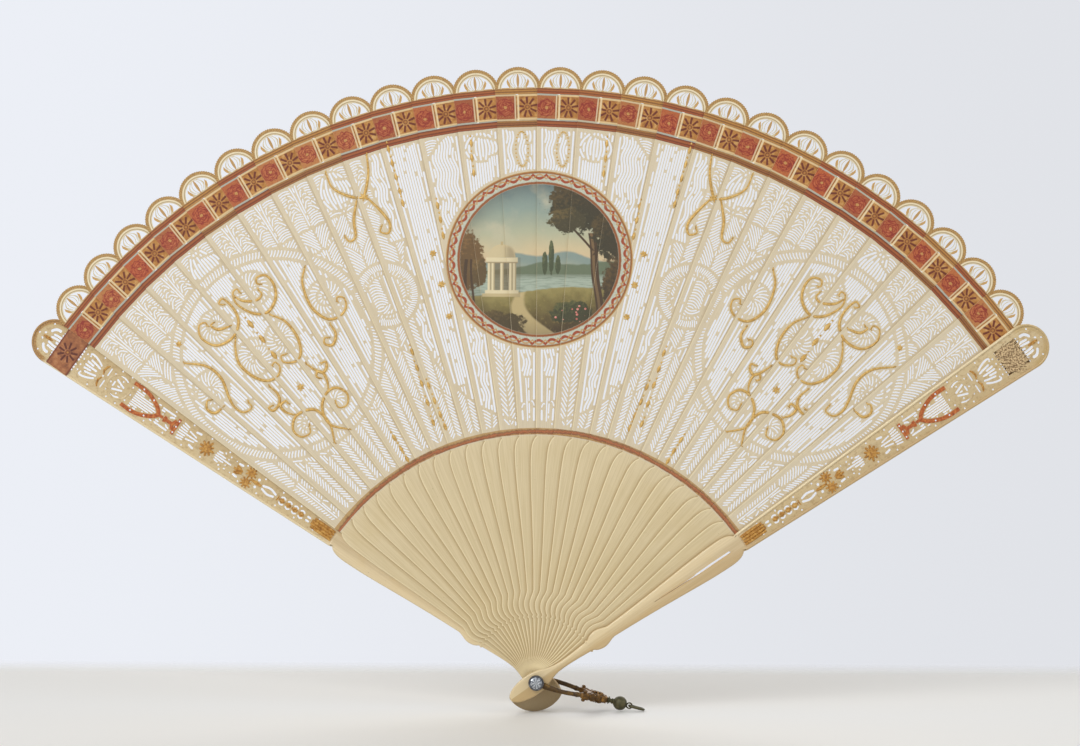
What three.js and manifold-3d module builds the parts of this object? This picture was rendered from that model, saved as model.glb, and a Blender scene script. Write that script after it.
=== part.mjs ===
// A folding fan of the brisé kind: stiff pierced sticks between two guards, with no leaf.
// A rivet carries all the blades, a ribbon runs through a slot near the top of each stick,
// and a metal bail with a ball finial swings from the ends of the rivet.
//
// Millimetres, +Z up. The origin is on the rivet's axis, halfway through the stack of blades.
// The fan stands open: its blades lie in planes square to Y, and its front looks along -Y.
// Seen from the front, each blade lies over the one to its left.

import * as THREE from 'three';
import { mergeVertices, toCreasedNormals } from 'three/addons/utils/BufferGeometryUtils.js';
import Module from 'manifold-3d';

const wasm = await Module();
wasm.setup();

// Driving dimensions. A radius here is a distance from the rivet's axis along a blade.
const stickCount = 26;
const spreadAngle = 110.7;
const tipRadius = 248;
const headReach = 12.5;

// The blades' outline, as half widths at their radii.
const headHalfWidth = 4.4;
const waistRadius = 12.5;
const waistHalfWidth = 1.45;
const gorgeRadius = 25;
const gorgeHalfWidth = 2.1;
const shoulderRadius = 31;
const shoulderHalfWidth = 3.9;
const neckRadius = 36.5;
const neckHalfWidth = 2.5;
const swellRadius = 91.5;
const swellHalfWidth = 5.8;
const cuspRadius = 98.5;
const cuspHalfWidth = 3.7;
const bodyHalfWidth = 4.1;
const stickTopHalfWidth = 9.6;
const guardTopHalfWidth = 9.3;

// The stack, from the middle outwards.
const stickThicknessAtHead = 0.43;
const stickThicknessAtTip = 0.27;
const stickClearance = 0.09;
const guardClearance = 0.15;
const guardThickness = 1.8;
const guardEdgeThickness = 0.95;

// The painted band, the slot in it and the ribbon that the slot takes.
const bandWidth = 13.4;
const slotOffset = 1;
const slotWidth = 1.2;
const slotEndWall = 0.6;
const ribbonThickness = 0.1;
const ribbonEndClearance = 0.4;

// The pierced work of the sticks and of the guards.
const archRim = 2.8;
const archBar = 0.9;
const slitWidth = 0.55;
const medallionHeight = 170;
const medallionHalfWidth = 37.7;
const medallionHalfHeight = 35.7;
const panelRim = 2;
const panelDepth = 0.45;

// The rivet, its two paste stones and the bail.
const pinRadius = 0.9;
const pinClearance = 0.3;
const eyeRadius = 3;
const eyeThickness = 0.8;
const eyeClearance = 0.15;
const colletRadius = 3.1;
const colletFloor = 0.45;
const colletHeight = 1.35;
const colletWall = 0.55;
const seatGap = 0.1;
const bailTilt = 15;
const armLength = 18.4;
const armDiameter = 2;
const armBow = 0.7;
const crownLength = 11.6;
const crownThickness = 2.4;
const neckLength = 2.4;
const ballDiameter = 5.7;
const lugThickness = 1;
const lugHoleRadius = 0.85;
const ringWire = 1;
const ringLength = 7;
const ringWidth = 4.2;

// Sizes that follow from the ones above. The band ends where the round tip of a stick begins.
const bandOuter = tipRadius - stickTopHalfWidth;
const bandInner = bandOuter - bandWidth;
const layerPitch = stickThicknessAtHead + stickClearance;
const anglePitch = THREE.MathUtils.degToRad( spreadAngle ) / ( stickCount + 1 );
const outerStickY = layerPitch * ( stickCount - 1 ) / 2;
const guardInnerY = outerStickY + stickThicknessAtHead / 2 + guardClearance;
const guardOuterY = guardInnerY + guardThickness;
const eyeY = guardOuterY + eyeClearance + eyeThickness / 2;
const colletY = eyeY + eyeThickness / 2 + seatGap;
const pivotHoleRadius = pinRadius + pinClearance;

// Materials, one maker for each finish so that every mesh owns its own.
const ivory = () => new THREE.MeshStandardMaterial( { color: 0xd6c7a0, roughness: 0.42, metalness: 0 } );
const guardIvory = () => new THREE.MeshStandardMaterial( { color: 0xe2cf9e, roughness: 0.35, metalness: 0 } );
const silk = () => new THREE.MeshStandardMaterial( { color: 0xb98452, roughness: 0.8, metalness: 0 } );
const gilt = () => new THREE.MeshStandardMaterial( { color: 0x8c6a33, roughness: 0.45, metalness: 0.9 } );
const bronze = () => new THREE.MeshStandardMaterial( { color: 0x51482f, roughness: 0.5, metalness: 0.8 } );
const steel = () => new THREE.MeshStandardMaterial( { color: 0x5a5854, roughness: 0.4, metalness: 0.9 } );
const paste = () => new THREE.MeshStandardMaterial( { color: 0xb9bcc4, roughness: 0.08, metalness: 0.1 } );

const point = ( x, y ) => new THREE.Vector2( x, y );
const cubic = ( ...ends ) => new THREE.CubicBezierCurve( ...ends );

// Joins and cuts: a closed geometry becomes a solid, and a solid becomes a geometry again.
function solidOf( geometry ) {

	const bare = geometry.clone();
	bare.deleteAttribute( 'normal' );
	bare.deleteAttribute( 'uv' );
	const merged = mergeVertices( bare, 1e-5 );
	return new wasm.Manifold( new wasm.Mesh( {
		numProp: 3,
		vertProperties: new Float32Array( merged.attributes.position.array ),
		triVerts: new Uint32Array( merged.index.array )
	} ) );

}

function geometryOf( solid ) {

	const mesh = solid.getMesh();
	const geometry = new THREE.BufferGeometry();
	geometry.setAttribute( 'position', new THREE.BufferAttribute( new Float32Array( mesh.vertProperties ), 3 ) );
	geometry.setIndex( new THREE.BufferAttribute( new Uint32Array( mesh.triVerts ), 1 ) );
	return toCreasedNormals( geometry, 0.6 );

}

// Stands a flat outline up in the XZ plane and gives it a thickness from y0 back to y1.
function plate( outline, y0, y1 ) {

	const geometry = new THREE.ExtrudeGeometry( new THREE.Shape( outline ), { depth: y1 - y0, bevelEnabled: false } );
	geometry.rotateX( Math.PI / 2 );
	geometry.translate( 0, y1, 0 );
	return solidOf( geometry );

}

// Saws each hole right through a blade that is thinner than the reach of the saw.
function pierced( blade, holes, reach ) {

	return holes.reduce( ( left, hole ) => left.subtract( plate( hole, - reach, reach ) ), blade );

}

// Blade outline: the right edge runs from the end of the head up to the tip, through the waist,
// the beaded gorge, the shoulder and the swelling lower panel, and is mirrored for the left.
function bladeOutline( topHalfWidth ) {

	const headCentre = - headReach / 6;
	const archCentre = tipRadius - topHalfWidth;
	const bead = point( gorgeHalfWidth + 0.4, gorgeRadius + 0.8 );
	const notch = point( gorgeHalfWidth, gorgeRadius + 1.8 );
	const head = new THREE.EllipseCurve(
		0, headCentre, headHalfWidth, headReach + headCentre, - Math.PI / 2, 0 );
	const taper = cubic(
		point( headHalfWidth, headCentre ), point( headHalfWidth, waistRadius * 0.4 ),
		point( waistHalfWidth, waistRadius * 0.45 ), point( waistHalfWidth, waistRadius ) );
	const shoulder = cubic(
		notch, point( shoulderHalfWidth * 0.8, notch.y + 0.2 ),
		point( shoulderHalfWidth, shoulderRadius - 2 ), point( shoulderHalfWidth, shoulderRadius ) );
	const swell = cubic(
		point( neckHalfWidth, neckRadius ), point( neckHalfWidth + 1.1, ( neckRadius + swellRadius ) / 2 ),
		point( swellHalfWidth, swellRadius - 14 ), point( swellHalfWidth, swellRadius ) );
	const cusp = cubic(
		point( swellHalfWidth, swellRadius ), point( swellHalfWidth, cuspRadius - 2.6 ),
		point( cuspHalfWidth + 1, cuspRadius - 0.7 ), point( cuspHalfWidth, cuspRadius ) );
	const arch = new THREE.EllipseCurve( 0, archCentre, topHalfWidth, topHalfWidth, 0, Math.PI / 2 );

	const right = [
		...head.getPoints( 3 ),
		...taper.getPoints( 2 ).slice( 1 ),
		point( gorgeHalfWidth, gorgeRadius ),
		bead,
		...shoulder.getPoints( 2 ),
		point( neckHalfWidth, neckRadius ),
		...swell.getPoints( 2 ).slice( 1 ),
		...cusp.getPoints( 2 ).slice( 1 ),
		point( bodyHalfWidth, cuspRadius + 1.6 ),
		...arch.getPoints( 4 )
	];
	const left = right.slice( 1, - 1 ).reverse().map( p => point( - p.x, p.y ) );
	return [ ...right, ...left ];

}

// Half width of the pierced body of a blade at a radius.
function bodyHalfWidthAt( radius, topHalfWidth ) {

	const share = ( radius - cuspRadius ) / ( tipRadius - topHalfWidth - cuspRadius );
	return THREE.MathUtils.lerp( bodyHalfWidth, topHalfWidth, share );

}

function ringOfPoints( radius, count, x = 0, y = 0 ) {

	return new THREE.EllipseCurve( x, y, radius, radius, 0, Math.PI * 2 ).getPoints( count ).slice( 0, count );

}

const mirrored = outline => outline.map( p => point( - p.x, p.y ) ).reverse();

// A long leaf-shaped or straight slit along a blade, between two radii.
function slit( x0, radius0, x1, radius1, width ) {

	return [
		point( x0 - width / 2, radius0 ), point( x0 + width / 2, radius0 ),
		point( x1 + width / 2, radius1 ), point( x1 - width / 2, radius1 )
	];

}

function leaf( x, radius0, radius1, width, lean = 0 ) {

	const length = radius1 - radius0;
	return [
		point( x, radius0 ), point( x + width / 2 + lean / 2, radius0 + length * 0.4 ),
		point( x + lean, radius1 ), point( x - width / 2 + lean / 2, radius0 + length * 0.55 )
	];

}

// The arch of a stick holds a tulip: a bud between two bars that bend round it.
function archHoles() {

	const centre = tipRadius - stickTopHalfWidth;
	const outer = stickTopHalfWidth - archRim;
	const barOuter = outer * 0.72;
	const barInner = barOuter - archBar;
	const onArc = ( radius, degrees ) => {

		const angle = THREE.MathUtils.degToRad( degrees );
		return point( radius * Math.cos( angle ), centre + archBar / 2 + radius * Math.sin( angle ) );

	};

	const outside = [
		...[ 6, 40, 72 ].map( angle => onArc( outer, angle ) ),
		...[ 70, 40, 8 ].map( angle => onArc( barOuter, angle ) )
	];
	const inside = [
		...[ 10, 42, 72 ].map( angle => onArc( barInner, angle ) ),
		point( barInner * 0.33, centre + archBar )
	];
	return [ outside, mirrored( outside ), inside, mirrored( inside ) ];

}

function insideMedallion( x, z ) {

	return ( x / medallionHalfWidth ) ** 2 + ( ( z - medallionHeight ) / medallionHalfHeight ) ** 2 < 1;

}

// The fretted zone of a stick is cut by long slits, which stop clear of the painted medallion.
function fretHoles( angle ) {

	const start = cuspRadius + 7;
	const end = bandInner - 4;
	const painted = [];
	for ( let radius = start; radius < end; radius += 1 ) {

		if ( insideMedallion( radius * Math.sin( angle ), radius * Math.cos( angle ) ) ) painted.push( radius );

	}

	const middle = ( start + end ) / 2;
	const margin = 5;
	const lowerEnd = painted.length ? Math.min( painted[ 0 ], middle ) - margin : middle - margin;
	const upperStart = painted.length ? Math.max( painted.at( - 1 ), middle ) + margin : middle + margin;
	const leaves = [ - 0.32, 0.32 ].map( share => {

		const x = share * bodyHalfWidthAt( start, stickTopHalfWidth );
		return leaf( x, start + share, lowerEnd - share, slitWidth * 2, x * 0.4 );

	} );
	const bars = [ - 0.46, 0, 0.46 ].map( share => {

		const shorter = 4 * Math.abs( share ) + share;
		const x0 = share * bodyHalfWidthAt( upperStart, stickTopHalfWidth );
		const x1 = share * bodyHalfWidthAt( end, stickTopHalfWidth );
		return slit( x0, upperStart + shorter, x1, end - shorter, slitWidth );

	} );
	return [ ...leaves, ...bars ];

}

// Sticks: one flat blade each, thicker at the head than at the tip.
function stickGeometry( angle ) {

	const slot = slit( slotOffset, bandInner + slotEndWall, slotOffset, bandOuter - slotEndWall, slotWidth );
	const holes = [ ringOfPoints( pivotHoleRadius, 8 ), slot, ...archHoles(), ...fretHoles( angle ) ];
	const blank = plate( bladeOutline( stickTopHalfWidth ), - 0.5, 0.5 );
	const geometry = geometryOf( pierced( blank, holes, 1 ) );
	const position = geometry.attributes.position;
	for ( let i = 0; i < position.count; i ++ ) {

		const share = ( position.getZ( i ) + headReach ) / ( tipRadius + headReach );
		const thickness = THREE.MathUtils.lerp( stickThicknessAtHead, stickThicknessAtTip, share );
		position.setY( i, position.getY( i ) * thickness );

	}

	return geometry;

}

// Skins a row of rings that all have the same number of corners. The corners run counter-clockwise
// seen from ahead. A closed row joins its last ring to its first, and an open one gets two caps.
function loft( rings, closed = false ) {

	const n = rings[ 0 ].length;
	const index = [];
	const spans = closed ? rings.length : rings.length - 1;
	for ( let s = 0; s < spans; s ++ ) {

		const near = s * n;
		const far = ( s + 1 ) % rings.length * n;
		for ( let i = 0; i < n; i ++ ) {

			const j = ( i + 1 ) % n;
			index.push( near + i, near + j, far + i, near + j, far + j, far + i );

		}

	}

	const last = ( rings.length - 1 ) * n;
	for ( let i = 1; i < n - 1 && ! closed; i ++ ) index.push( 0, i + 1, i, last, last + i, last + i + 1 );

	const geometry = new THREE.BufferGeometry();
	geometry.setAttribute( 'position', new THREE.Float32BufferAttribute( rings.flat( 2 ), 3 ) );
	geometry.setIndex( index );
	geometry.computeVertexNormals();
	return geometry;

}

// A bar with a domed back, lofted through cross-sections along the guard. It is wider than the
// guard's outline, which trims it, so the guard gets rounded long edges and rounded ends.
function domedBar( topHalfWidth ) {

	const below = 1;
	const spare = 0.6;
	const crown = guardThickness;
	const section = [
		[ - 1, - below ], [ 1, - below ], [ 1, guardEdgeThickness ], [ 0.84, crown * 0.88 ], [ 0.64, crown ],
		[ - 0.64, crown ], [ - 0.84, crown * 0.88 ], [ - 1, guardEdgeThickness ]
	];
	const stations = [
		[ - headReach - spare, headHalfWidth, 0.6 ], [ - headReach / 2, headHalfWidth, 1 ],
		[ 2, headHalfWidth, 1 ], [ waistRadius, waistHalfWidth * 1.25, 1 ],
		[ gorgeRadius, gorgeHalfWidth * 1.3, 1 ], [ shoulderRadius, shoulderHalfWidth, 1 ],
		[ neckRadius + 3, neckHalfWidth * 1.3, 1 ], [ swellRadius, swellHalfWidth, 1 ],
		[ cuspRadius + 3, bodyHalfWidth * 1.1, 1 ], [ tipRadius - topHalfWidth, topHalfWidth, 1 ],
		[ tipRadius + spare, topHalfWidth, 0.55 ]
	];
	return loft( stations.map( ( [ radius, halfWidth, height ] ) => section.map( ( [ side, y ] ) => [
		side * halfWidth + Math.sign( side ) * ( y <= guardEdgeThickness ? spare : 0 ),
		y > 0 ? y * height : y,
		radius
	] ) ) );

}

// The guard's pierced panel, from the tip down: rays, a palmette, a roundel, a lyre, and drops.
function guardHoles() {

	const widthAt = radius => bodyHalfWidthAt( radius, guardTopHalfWidth ) - panelRim;
	const holes = [ ringOfPoints( pivotHoleRadius, 8 ) ];
	const rays = bandOuter + 4;
	for ( const share of [ - 0.62, - 0.31, 0, 0.31, 0.62 ] ) {

		const x = share * widthAt( bandOuter );
		holes.push( leaf( x, bandOuter + 0.6, rays - 2 * share * share, 1.2, x * - 0.15 ) );

	}

	const palmette = bandInner - 15;
	for ( const share of [ - 0.7, - 0.36, 0, 0.36, 0.7 ] ) {

		const lean = share * widthAt( palmette );
		holes.push( leaf( lean * 0.35, palmette, palmette + 13 - 3 * share * share, 1.4, lean * 0.6 ) );

	}

	const roundel = palmette - 9;
	const roundelRadius = widthAt( roundel ) * 0.8;
	for ( let i = 0; i < 3; i ++ ) {

		const middle = Math.PI * ( 0.5 + i * 2 / 3 );
		const arc = new THREE.EllipseCurve( 0, roundel, roundelRadius, roundelRadius, middle - 0.7, middle + 0.7 );
		const chord = roundelRadius * 0.6;
		const inner = [ 0.35, - 0.35 ].map( turn =>
			point( chord * Math.cos( middle + turn ), roundel + chord * Math.sin( middle + turn ) ) );
		holes.push( [ ...arc.getPoints( 3 ), ...inner ] );

	}

	const lyre = roundel - 21;
	for ( const share of [ - 0.54, - 0.18, 0.18, 0.54 ] ) {

		const spread = share * widthAt( lyre + 10 );
		holes.push( slit( spread * 0.55, lyre, spread, lyre + 11 - 4 * share * share, 0.7 ) );

	}

	for ( let drop = 0; drop < 4; drop ++ ) {

		const low = cuspRadius + 16 + drop * 16;
		for ( const side of [ - 1, 1 ] ) {

			const x = side * widthAt( low ) * 0.5;
			holes.push( leaf( x, low, low + 12, 1, side * 0.4 ) );

		}

	}

	return holes;

}

// Guards: a flat inner face at y = 0, a domed outer face towards +Y with a sunk panel between
// two raised rims, and the piercings cut right through.
function guardGeometry( extraHoles = [] ) {

	const reach = guardThickness + 1;
	const panelStart = cuspRadius + 7;
	const panelTop = tipRadius - guardTopHalfWidth;
	const startHalf = bodyHalfWidthAt( panelStart, guardTopHalfWidth ) - panelRim;
	const topHalf = guardTopHalfWidth - panelRim;
	const panel = [
		point( - startHalf, panelStart ), point( startHalf, panelStart ),
		...new THREE.EllipseCurve( 0, panelTop, topHalf, topHalf, 0, Math.PI ).getPoints( 8 )
	];
	const blank = plate( bladeOutline( guardTopHalfWidth ), 0, reach )
		.intersect( solidOf( domedBar( guardTopHalfWidth ) ) )
		.subtract( plate( panel, guardThickness - panelDepth, reach ) );
	return geometryOf( pierced( blank, [ ...guardHoles(), ...extraHoles ], reach ) );

}

// The ribbon is one flat strip from the left edge of the rear guard to the right edge of the
// front one. Between two sticks it lies flat in the space between their layers, and at each
// stick it climbs through the slot to the layer in front.
function ribbonGeometry() {

	const run = slotWidth * 0.35;
	const step = layerPitch / 2;
	const climb = new THREE.Vector2( run, - step ).normalize();
	const mitre = point( - climb.y, climb.x + 1 ).divideScalar( 1 + climb.x );
	const inner = bandInner + slotEndWall + ribbonEndClearance;
	const outer = bandOuter - slotEndWall - ribbonEndClearance;
	const end = bodyHalfWidthAt( bandInner, guardTopHalfWidth ) - ribbonEndClearance;

	const ringAt = ( blade, u, y, miter ) => {

		const angle = angleOf( blade );
		const corner = ( side, radius ) => {

			const across = u + side * miter.x * ribbonThickness / 2;
			return [
				across * Math.cos( angle ) + radius * Math.sin( angle ),
				y + side * miter.y * ribbonThickness / 2,
				radius * Math.cos( angle ) - across * Math.sin( angle )
			];

		};

		return [ corner( - 1, inner ), corner( 1, inner ), corner( 1, outer ), corner( - 1, outer ) ];

	};

	const square = point( 0, 1 );
	const rings = [ ringAt( 0, - end, stickY( 1 ) + step, square ) ];
	for ( let blade = 1; blade <= stickCount; blade ++ ) {

		rings.push( ringAt( blade, slotOffset - run, stickY( blade ) + step, mitre ) );
		rings.push( ringAt( blade, slotOffset + run, stickY( blade ) - step, mitre ) );

	}

	rings.push( ringAt( stickCount + 1, end, stickY( stickCount ) - step, square ) );
	return loft( rings );

}

// Blades are counted from the rear guard, 0, through the sticks to the front guard.
function angleOf( blade ) {

	return anglePitch * ( blade - ( stickCount + 1 ) / 2 );

}

function stickY( blade ) {

	return outerStickY - layerPitch * ( blade - 1 );

}

// A turned piece. Its profile lists radius and height, and its axis is Y.
function turned( profile, segments ) {

	return new THREE.LatheGeometry( profile.map( ( [ radius, y ] ) => point( radius, y ) ), segments );

}

// A collet is a shallow cup with a turned-in lip, and holds a rose-cut paste stone.
function colletGeometry() {

	const lip = 0.25;
	const inside = colletRadius - colletWall;
	return turned( [
		[ 0, 0 ], [ colletRadius, 0 ], [ colletRadius, colletHeight - lip ], [ colletRadius - lip, colletHeight ],
		[ inside, colletHeight ], [ inside, colletFloor ], [ 0, colletFloor ]
	], 12 );

}

function stoneGeometry() {

	const girdle = colletRadius - colletWall - seatGap;
	const tableHeight = colletHeight - colletFloor + 0.2;
	return turned( [
		[ 0, 0 ], [ girdle * 0.94, 0 ], [ girdle, tableHeight * 0.4 ], [ girdle * 0.55, tableHeight ], [ 0, tableHeight ]
	], 8 );

}

// One arm of the bail: a round eye on the rivet and a bar that thickens away from it. The inner
// side stays in one plane, so that it swings past the guard. The arm runs along +X.
function armGeometry() {

	const boreRadius = pinRadius + pinClearance;
	const eye = turned( [
		[ boreRadius, 0 ], [ eyeRadius, 0 ], [ eyeRadius, eyeThickness ],
		[ boreRadius, eyeThickness ], [ boreRadius, 0 ]
	], 12 );
	const half = armDiameter / 2;
	const flat = eyeThickness / 2;
	const stations = [
		[ ( boreRadius + eyeRadius ) / 2, flat, half * 1.5 ], [ colletRadius + 0.4, flat, half * 1.25 ],
		[ armLength * 0.36, ( flat + half ) / 2, half * 1.05 ], [ armLength * 0.6, half, half ],
		[ armLength * 0.8, half, half ], [ armLength, half, half ]
	];
	const sides = 8;
	const bar = loft( stations.map( ( [ x, deep, high ] ) => Array.from( { length: sides }, ( _, i ) => {

		const turn = i * Math.PI * 2 / sides;
		const bow = armBow * Math.sin( Math.PI * x / armLength );
		return [ x, deep + deep * Math.cos( turn ), bow + high * Math.sin( turn ) ];

	} ) ) );
	return geometryOf( solidOf( eye ).add( solidOf( bar ) ) );

}

// The cast crown joins the two arms and narrows in scalloped lobes to the finial. A knob stands
// at the root of each arm, and a rosette stands proud of both faces.
function crownGeometry() {

	const start = armLength + seatGap;
	const end = start + crownLength;
	const armMiddle = guardOuterY + eyeClearance + armDiameter / 2;
	const width = armMiddle + armDiameter * 0.6;
	const foot = armMiddle - armDiameter * 0.65;
	const arch = cubic(
		point( start, foot ), point( start + 2, foot - 1 ), point( start + 2.8, foot * 0.6 ), point( start + 3, 0 ) );
	const lobes = 4;
	const outerEdge = [];
	for ( let i = 0; i <= lobes * 2; i ++ ) {

		const share = i / ( lobes * 2 );
		const swell = 0.9 * Math.abs( Math.sin( Math.PI * share * lobes ) );
		outerEdge.push( point( start + 1.4 + ( crownLength - 1.4 ) * share + swell * 0.3,
			THREE.MathUtils.lerp( width, 1.3, share ** 0.8 ) + swell ) );

	}

	outerEdge.at( - 1 ).x = end;
	const halfOutline = [ ...arch.getPoints( 4 ).reverse(), point( start, width ), ...outerEdge ];
	const other = halfOutline.slice( 1 ).reverse().map( p => point( p.x, - p.y ) );
	const outline = [ ...halfOutline, ...other ];
	const bevel = 0.4;
	const slab = new THREE.ExtrudeGeometry( new THREE.Shape( outline ), {
		depth: crownThickness - 2 * bevel, bevelThickness: bevel, bevelSize: bevel,
		bevelOffset: - bevel, bevelSegments: 1
	} );
	slab.translate( 0, 0, bevel - crownThickness / 2 );
	let solid = solidOf( slab );

	const rosette = turned( [ [ 0, - 2 ], [ 1.7, - 1.6 ], [ 2.9, 0 ], [ 1.7, 1.6 ], [ 0, 2 ] ], 8 );
	rosette.rotateX( Math.PI / 2 ).translate( ( start + end ) / 2 + 1.2, 0, 0 );
	solid = solid.add( solidOf( rosette ) );
	for ( const side of [ - 1, 1 ] ) {

		const knob = new THREE.SphereGeometry( armDiameter * 0.7, 8, 5 );
		knob.translate( start + armDiameter * 0.7, side * armMiddle, 0 );
		solid = solid.add( solidOf( knob ) );
		const eyelet = leaf( side * armMiddle * 0.45, start + 5, start + 7.6, 1.6 );
		const cutter = new THREE.ExtrudeGeometry( new THREE.Shape( eyelet.map( p => point( p.y, p.x ) ).reverse() ),
			{ depth: crownThickness * 2, bevelEnabled: false } );
		cutter.translate( 0, 0, - crownThickness );
		solid = solid.subtract( solidOf( cutter ) );

	}

	return geometryOf( solid );

}

// Finial: two collars, a ball and a drilled lug for the ring. Its axis is X, from the crown on.
function finialGeometry() {

	const ball = ballDiameter / 2;
	const middle = neckLength + ball * 0.92;
	const lugReach = lugHoleRadius + 0.55;
	const arc = new THREE.EllipseCurve( 0, middle, ball, ball, - 1.17, 1.3 ).getPoints( 6 );
	const turnedPart = turned( [
		[ 0, 0 ], [ 1.5, 0 ], [ 1.5, 0.5 ], [ 0.9, 0.9 ], [ 0.9, neckLength - 0.7 ], [ 1.35, neckLength - 0.35 ],
		...arc.map( p => [ p.x, p.y ] ), [ 0, middle + ball ]
	], 10 );
	turnedPart.rotateZ( - Math.PI / 2 );
	const lug = new THREE.CylinderGeometry( lugReach, lugReach, lugThickness, 10 );
	const lugHole = new THREE.CylinderGeometry( lugHoleRadius, lugHoleRadius, lugThickness * 2, 8 );
	const lugCentre = middle + ball + lugHoleRadius + 0.2;
	lug.translate( lugCentre, 0, 0 );
	lugHole.translate( lugCentre, 0, 0 );
	const solid = solidOf( turnedPart ).add( solidOf( lug ) ).subtract( solidOf( lugHole ) );
	return { geometry: geometryOf( solid ), lugCentre };

}

// An oval ring of round wire. Its near end passes through the origin along Y, and it lies to +X.
function ringGeometry() {

	const wire = ringWire / 2;
	const bend = ringWidth / 2 - wire;
	const straight = ringLength - ringWidth;
	const steps = 5;
	const sides = 6;
	const rings = [];
	for ( const [ middle, from ] of [ [ bend + straight, - Math.PI / 2 ], [ bend, Math.PI / 2 ] ] ) {

		for ( let i = 0; i <= steps; i ++ ) {

			const turn = from + Math.PI * i / steps;
			rings.push( Array.from( { length: sides }, ( _, k ) => {

				const around = k * Math.PI * 2 / sides;
				const reach = bend + wire * Math.sin( around );
				return [ middle + reach * Math.cos( turn ), reach * Math.sin( turn ), wire * Math.cos( around ) ];

			} ) );

		}

	}

	return loft( rings, true );

}

// Assembly.
const fan = new THREE.Group();

function add( name, geometry, material, parent = fan ) {

	const mesh = new THREE.Mesh( geometry, material );
	mesh.name = name;
	parent.add( mesh );
	return mesh;

}

const rearGuard = add( 'rear_guard', guardGeometry(), guardIvory() );
rearGuard.rotation.y = angleOf( 0 );
rearGuard.position.y = guardInnerY;

for ( let blade = 1; blade <= stickCount; blade ++ ) {

	const angle = angleOf( blade );
	const stick = add( `stick_${ String( blade ).padStart( 2, '0' ) }`, stickGeometry( angle ), ivory() );
	stick.rotation.y = angle;
	stick.position.y = stickY( blade );

}

// The front guard is the same piece turned about its own length. Its lower panel has split
// along the grain, in a crack that opens towards the cusp.
const crack = [
	point( 0.4, neckRadius + 26 ), point( 0.15, neckRadius + 38 ), point( - 0.35, swellRadius - 1 ),
	point( 0.25, swellRadius + 1 ), point( 0.75, neckRadius + 40 )
];
const frontGuardTurn = new THREE.Group();
frontGuardTurn.rotation.y = angleOf( stickCount + 1 );
frontGuardTurn.position.y = - guardInnerY;
const frontGuard = add( 'front_guard', guardGeometry( [ crack ] ), guardIvory(), frontGuardTurn );
frontGuard.rotation.z = Math.PI;
fan.add( frontGuardTurn );

add( 'ribbon', ribbonGeometry(), silk() );

// Rivet: a pin through every head, with a collet and a stone at each end.
add( 'pivot_pin', new THREE.CylinderGeometry( pinRadius, pinRadius, 2 * ( colletY - seatGap ), 12 ), steel() );
for ( const [ end, turn ] of [ [ 'rear', 0 ], [ 'front', Math.PI ] ] ) {

	const setting = new THREE.Group();
	setting.rotation.x = turn;
	add( `${ end }_collet`, colletGeometry(), steel(), setting ).position.y = colletY;
	add( `${ end }_stone`, stoneGeometry(), paste(), setting ).position.y = colletY + colletFloor + seatGap;
	fan.add( setting );

}

// Bail: two arms, the crown that joins them, the finial and its ring.
const bail = new THREE.Group();
bail.rotation.y = THREE.MathUtils.degToRad( bailTilt );
fan.add( bail );
const armInnerY = guardOuterY + eyeClearance;
add( 'bail_arm_rear', armGeometry(), gilt(), bail ).position.y = armInnerY;
const frontArm = add( 'bail_arm_front', armGeometry(), gilt(), bail );
frontArm.scale.y = - 1;
frontArm.position.y = - armInnerY;
add( 'bail_crown', crownGeometry(), gilt(), bail );
const finial = finialGeometry();
const finialStart = armLength + crownLength + 2 * seatGap;
add( 'finial', finial.geometry, bronze(), bail ).position.x = finialStart;
const ring = add( 'tassel_ring', ringGeometry(), bronze(), bail );
ring.position.x = finialStart + finial.lugCentre;

export default fan;
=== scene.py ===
import math
import random

import bpy
import numpy as np
from mathutils import Matrix, Vector


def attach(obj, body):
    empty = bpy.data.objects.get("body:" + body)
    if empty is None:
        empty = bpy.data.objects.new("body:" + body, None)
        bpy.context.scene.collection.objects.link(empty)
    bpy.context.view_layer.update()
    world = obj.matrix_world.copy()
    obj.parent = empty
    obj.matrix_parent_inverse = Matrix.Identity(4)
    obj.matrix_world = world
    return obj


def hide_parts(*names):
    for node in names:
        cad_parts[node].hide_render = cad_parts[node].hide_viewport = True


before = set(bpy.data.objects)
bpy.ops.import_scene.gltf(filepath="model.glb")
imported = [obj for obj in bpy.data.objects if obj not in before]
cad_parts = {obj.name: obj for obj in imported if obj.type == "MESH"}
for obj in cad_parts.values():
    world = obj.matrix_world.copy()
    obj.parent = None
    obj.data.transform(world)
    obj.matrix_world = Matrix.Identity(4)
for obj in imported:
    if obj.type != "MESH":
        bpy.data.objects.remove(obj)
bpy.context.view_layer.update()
mm = 0.001


# Camera, floor and light. The fan stands upright with its front towards the camera, on a pale
# table before a pale wall, in the soft light of a studio. The wall shows to the camera alone.
lens_pixels = 2723
view_width, view_height = 1080, 746
camera_turn = Matrix.Rotation(math.radians(-0.524), 4, "Z") @ Matrix.Rotation(math.radians(90), 4, "X")
camera_turn = camera_turn @ Matrix.Rotation(math.radians(0.321), 4, "Z")
bpy.ops.object.select_all(action="DESELECT")
bpy.ops.object.camera_add(location=(-9.1 * mm, -1100 * mm, 124.1 * mm), rotation=camera_turn.to_euler())
camera = bpy.context.object
camera.name = "camera"
camera.data.sensor_width = 36
camera.data.lens = lens_pixels / view_width * 36
camera.data.clip_start = 0.01
bpy.context.scene.camera = camera
bpy.context.scene.view_settings.view_transform = "Standard"


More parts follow.
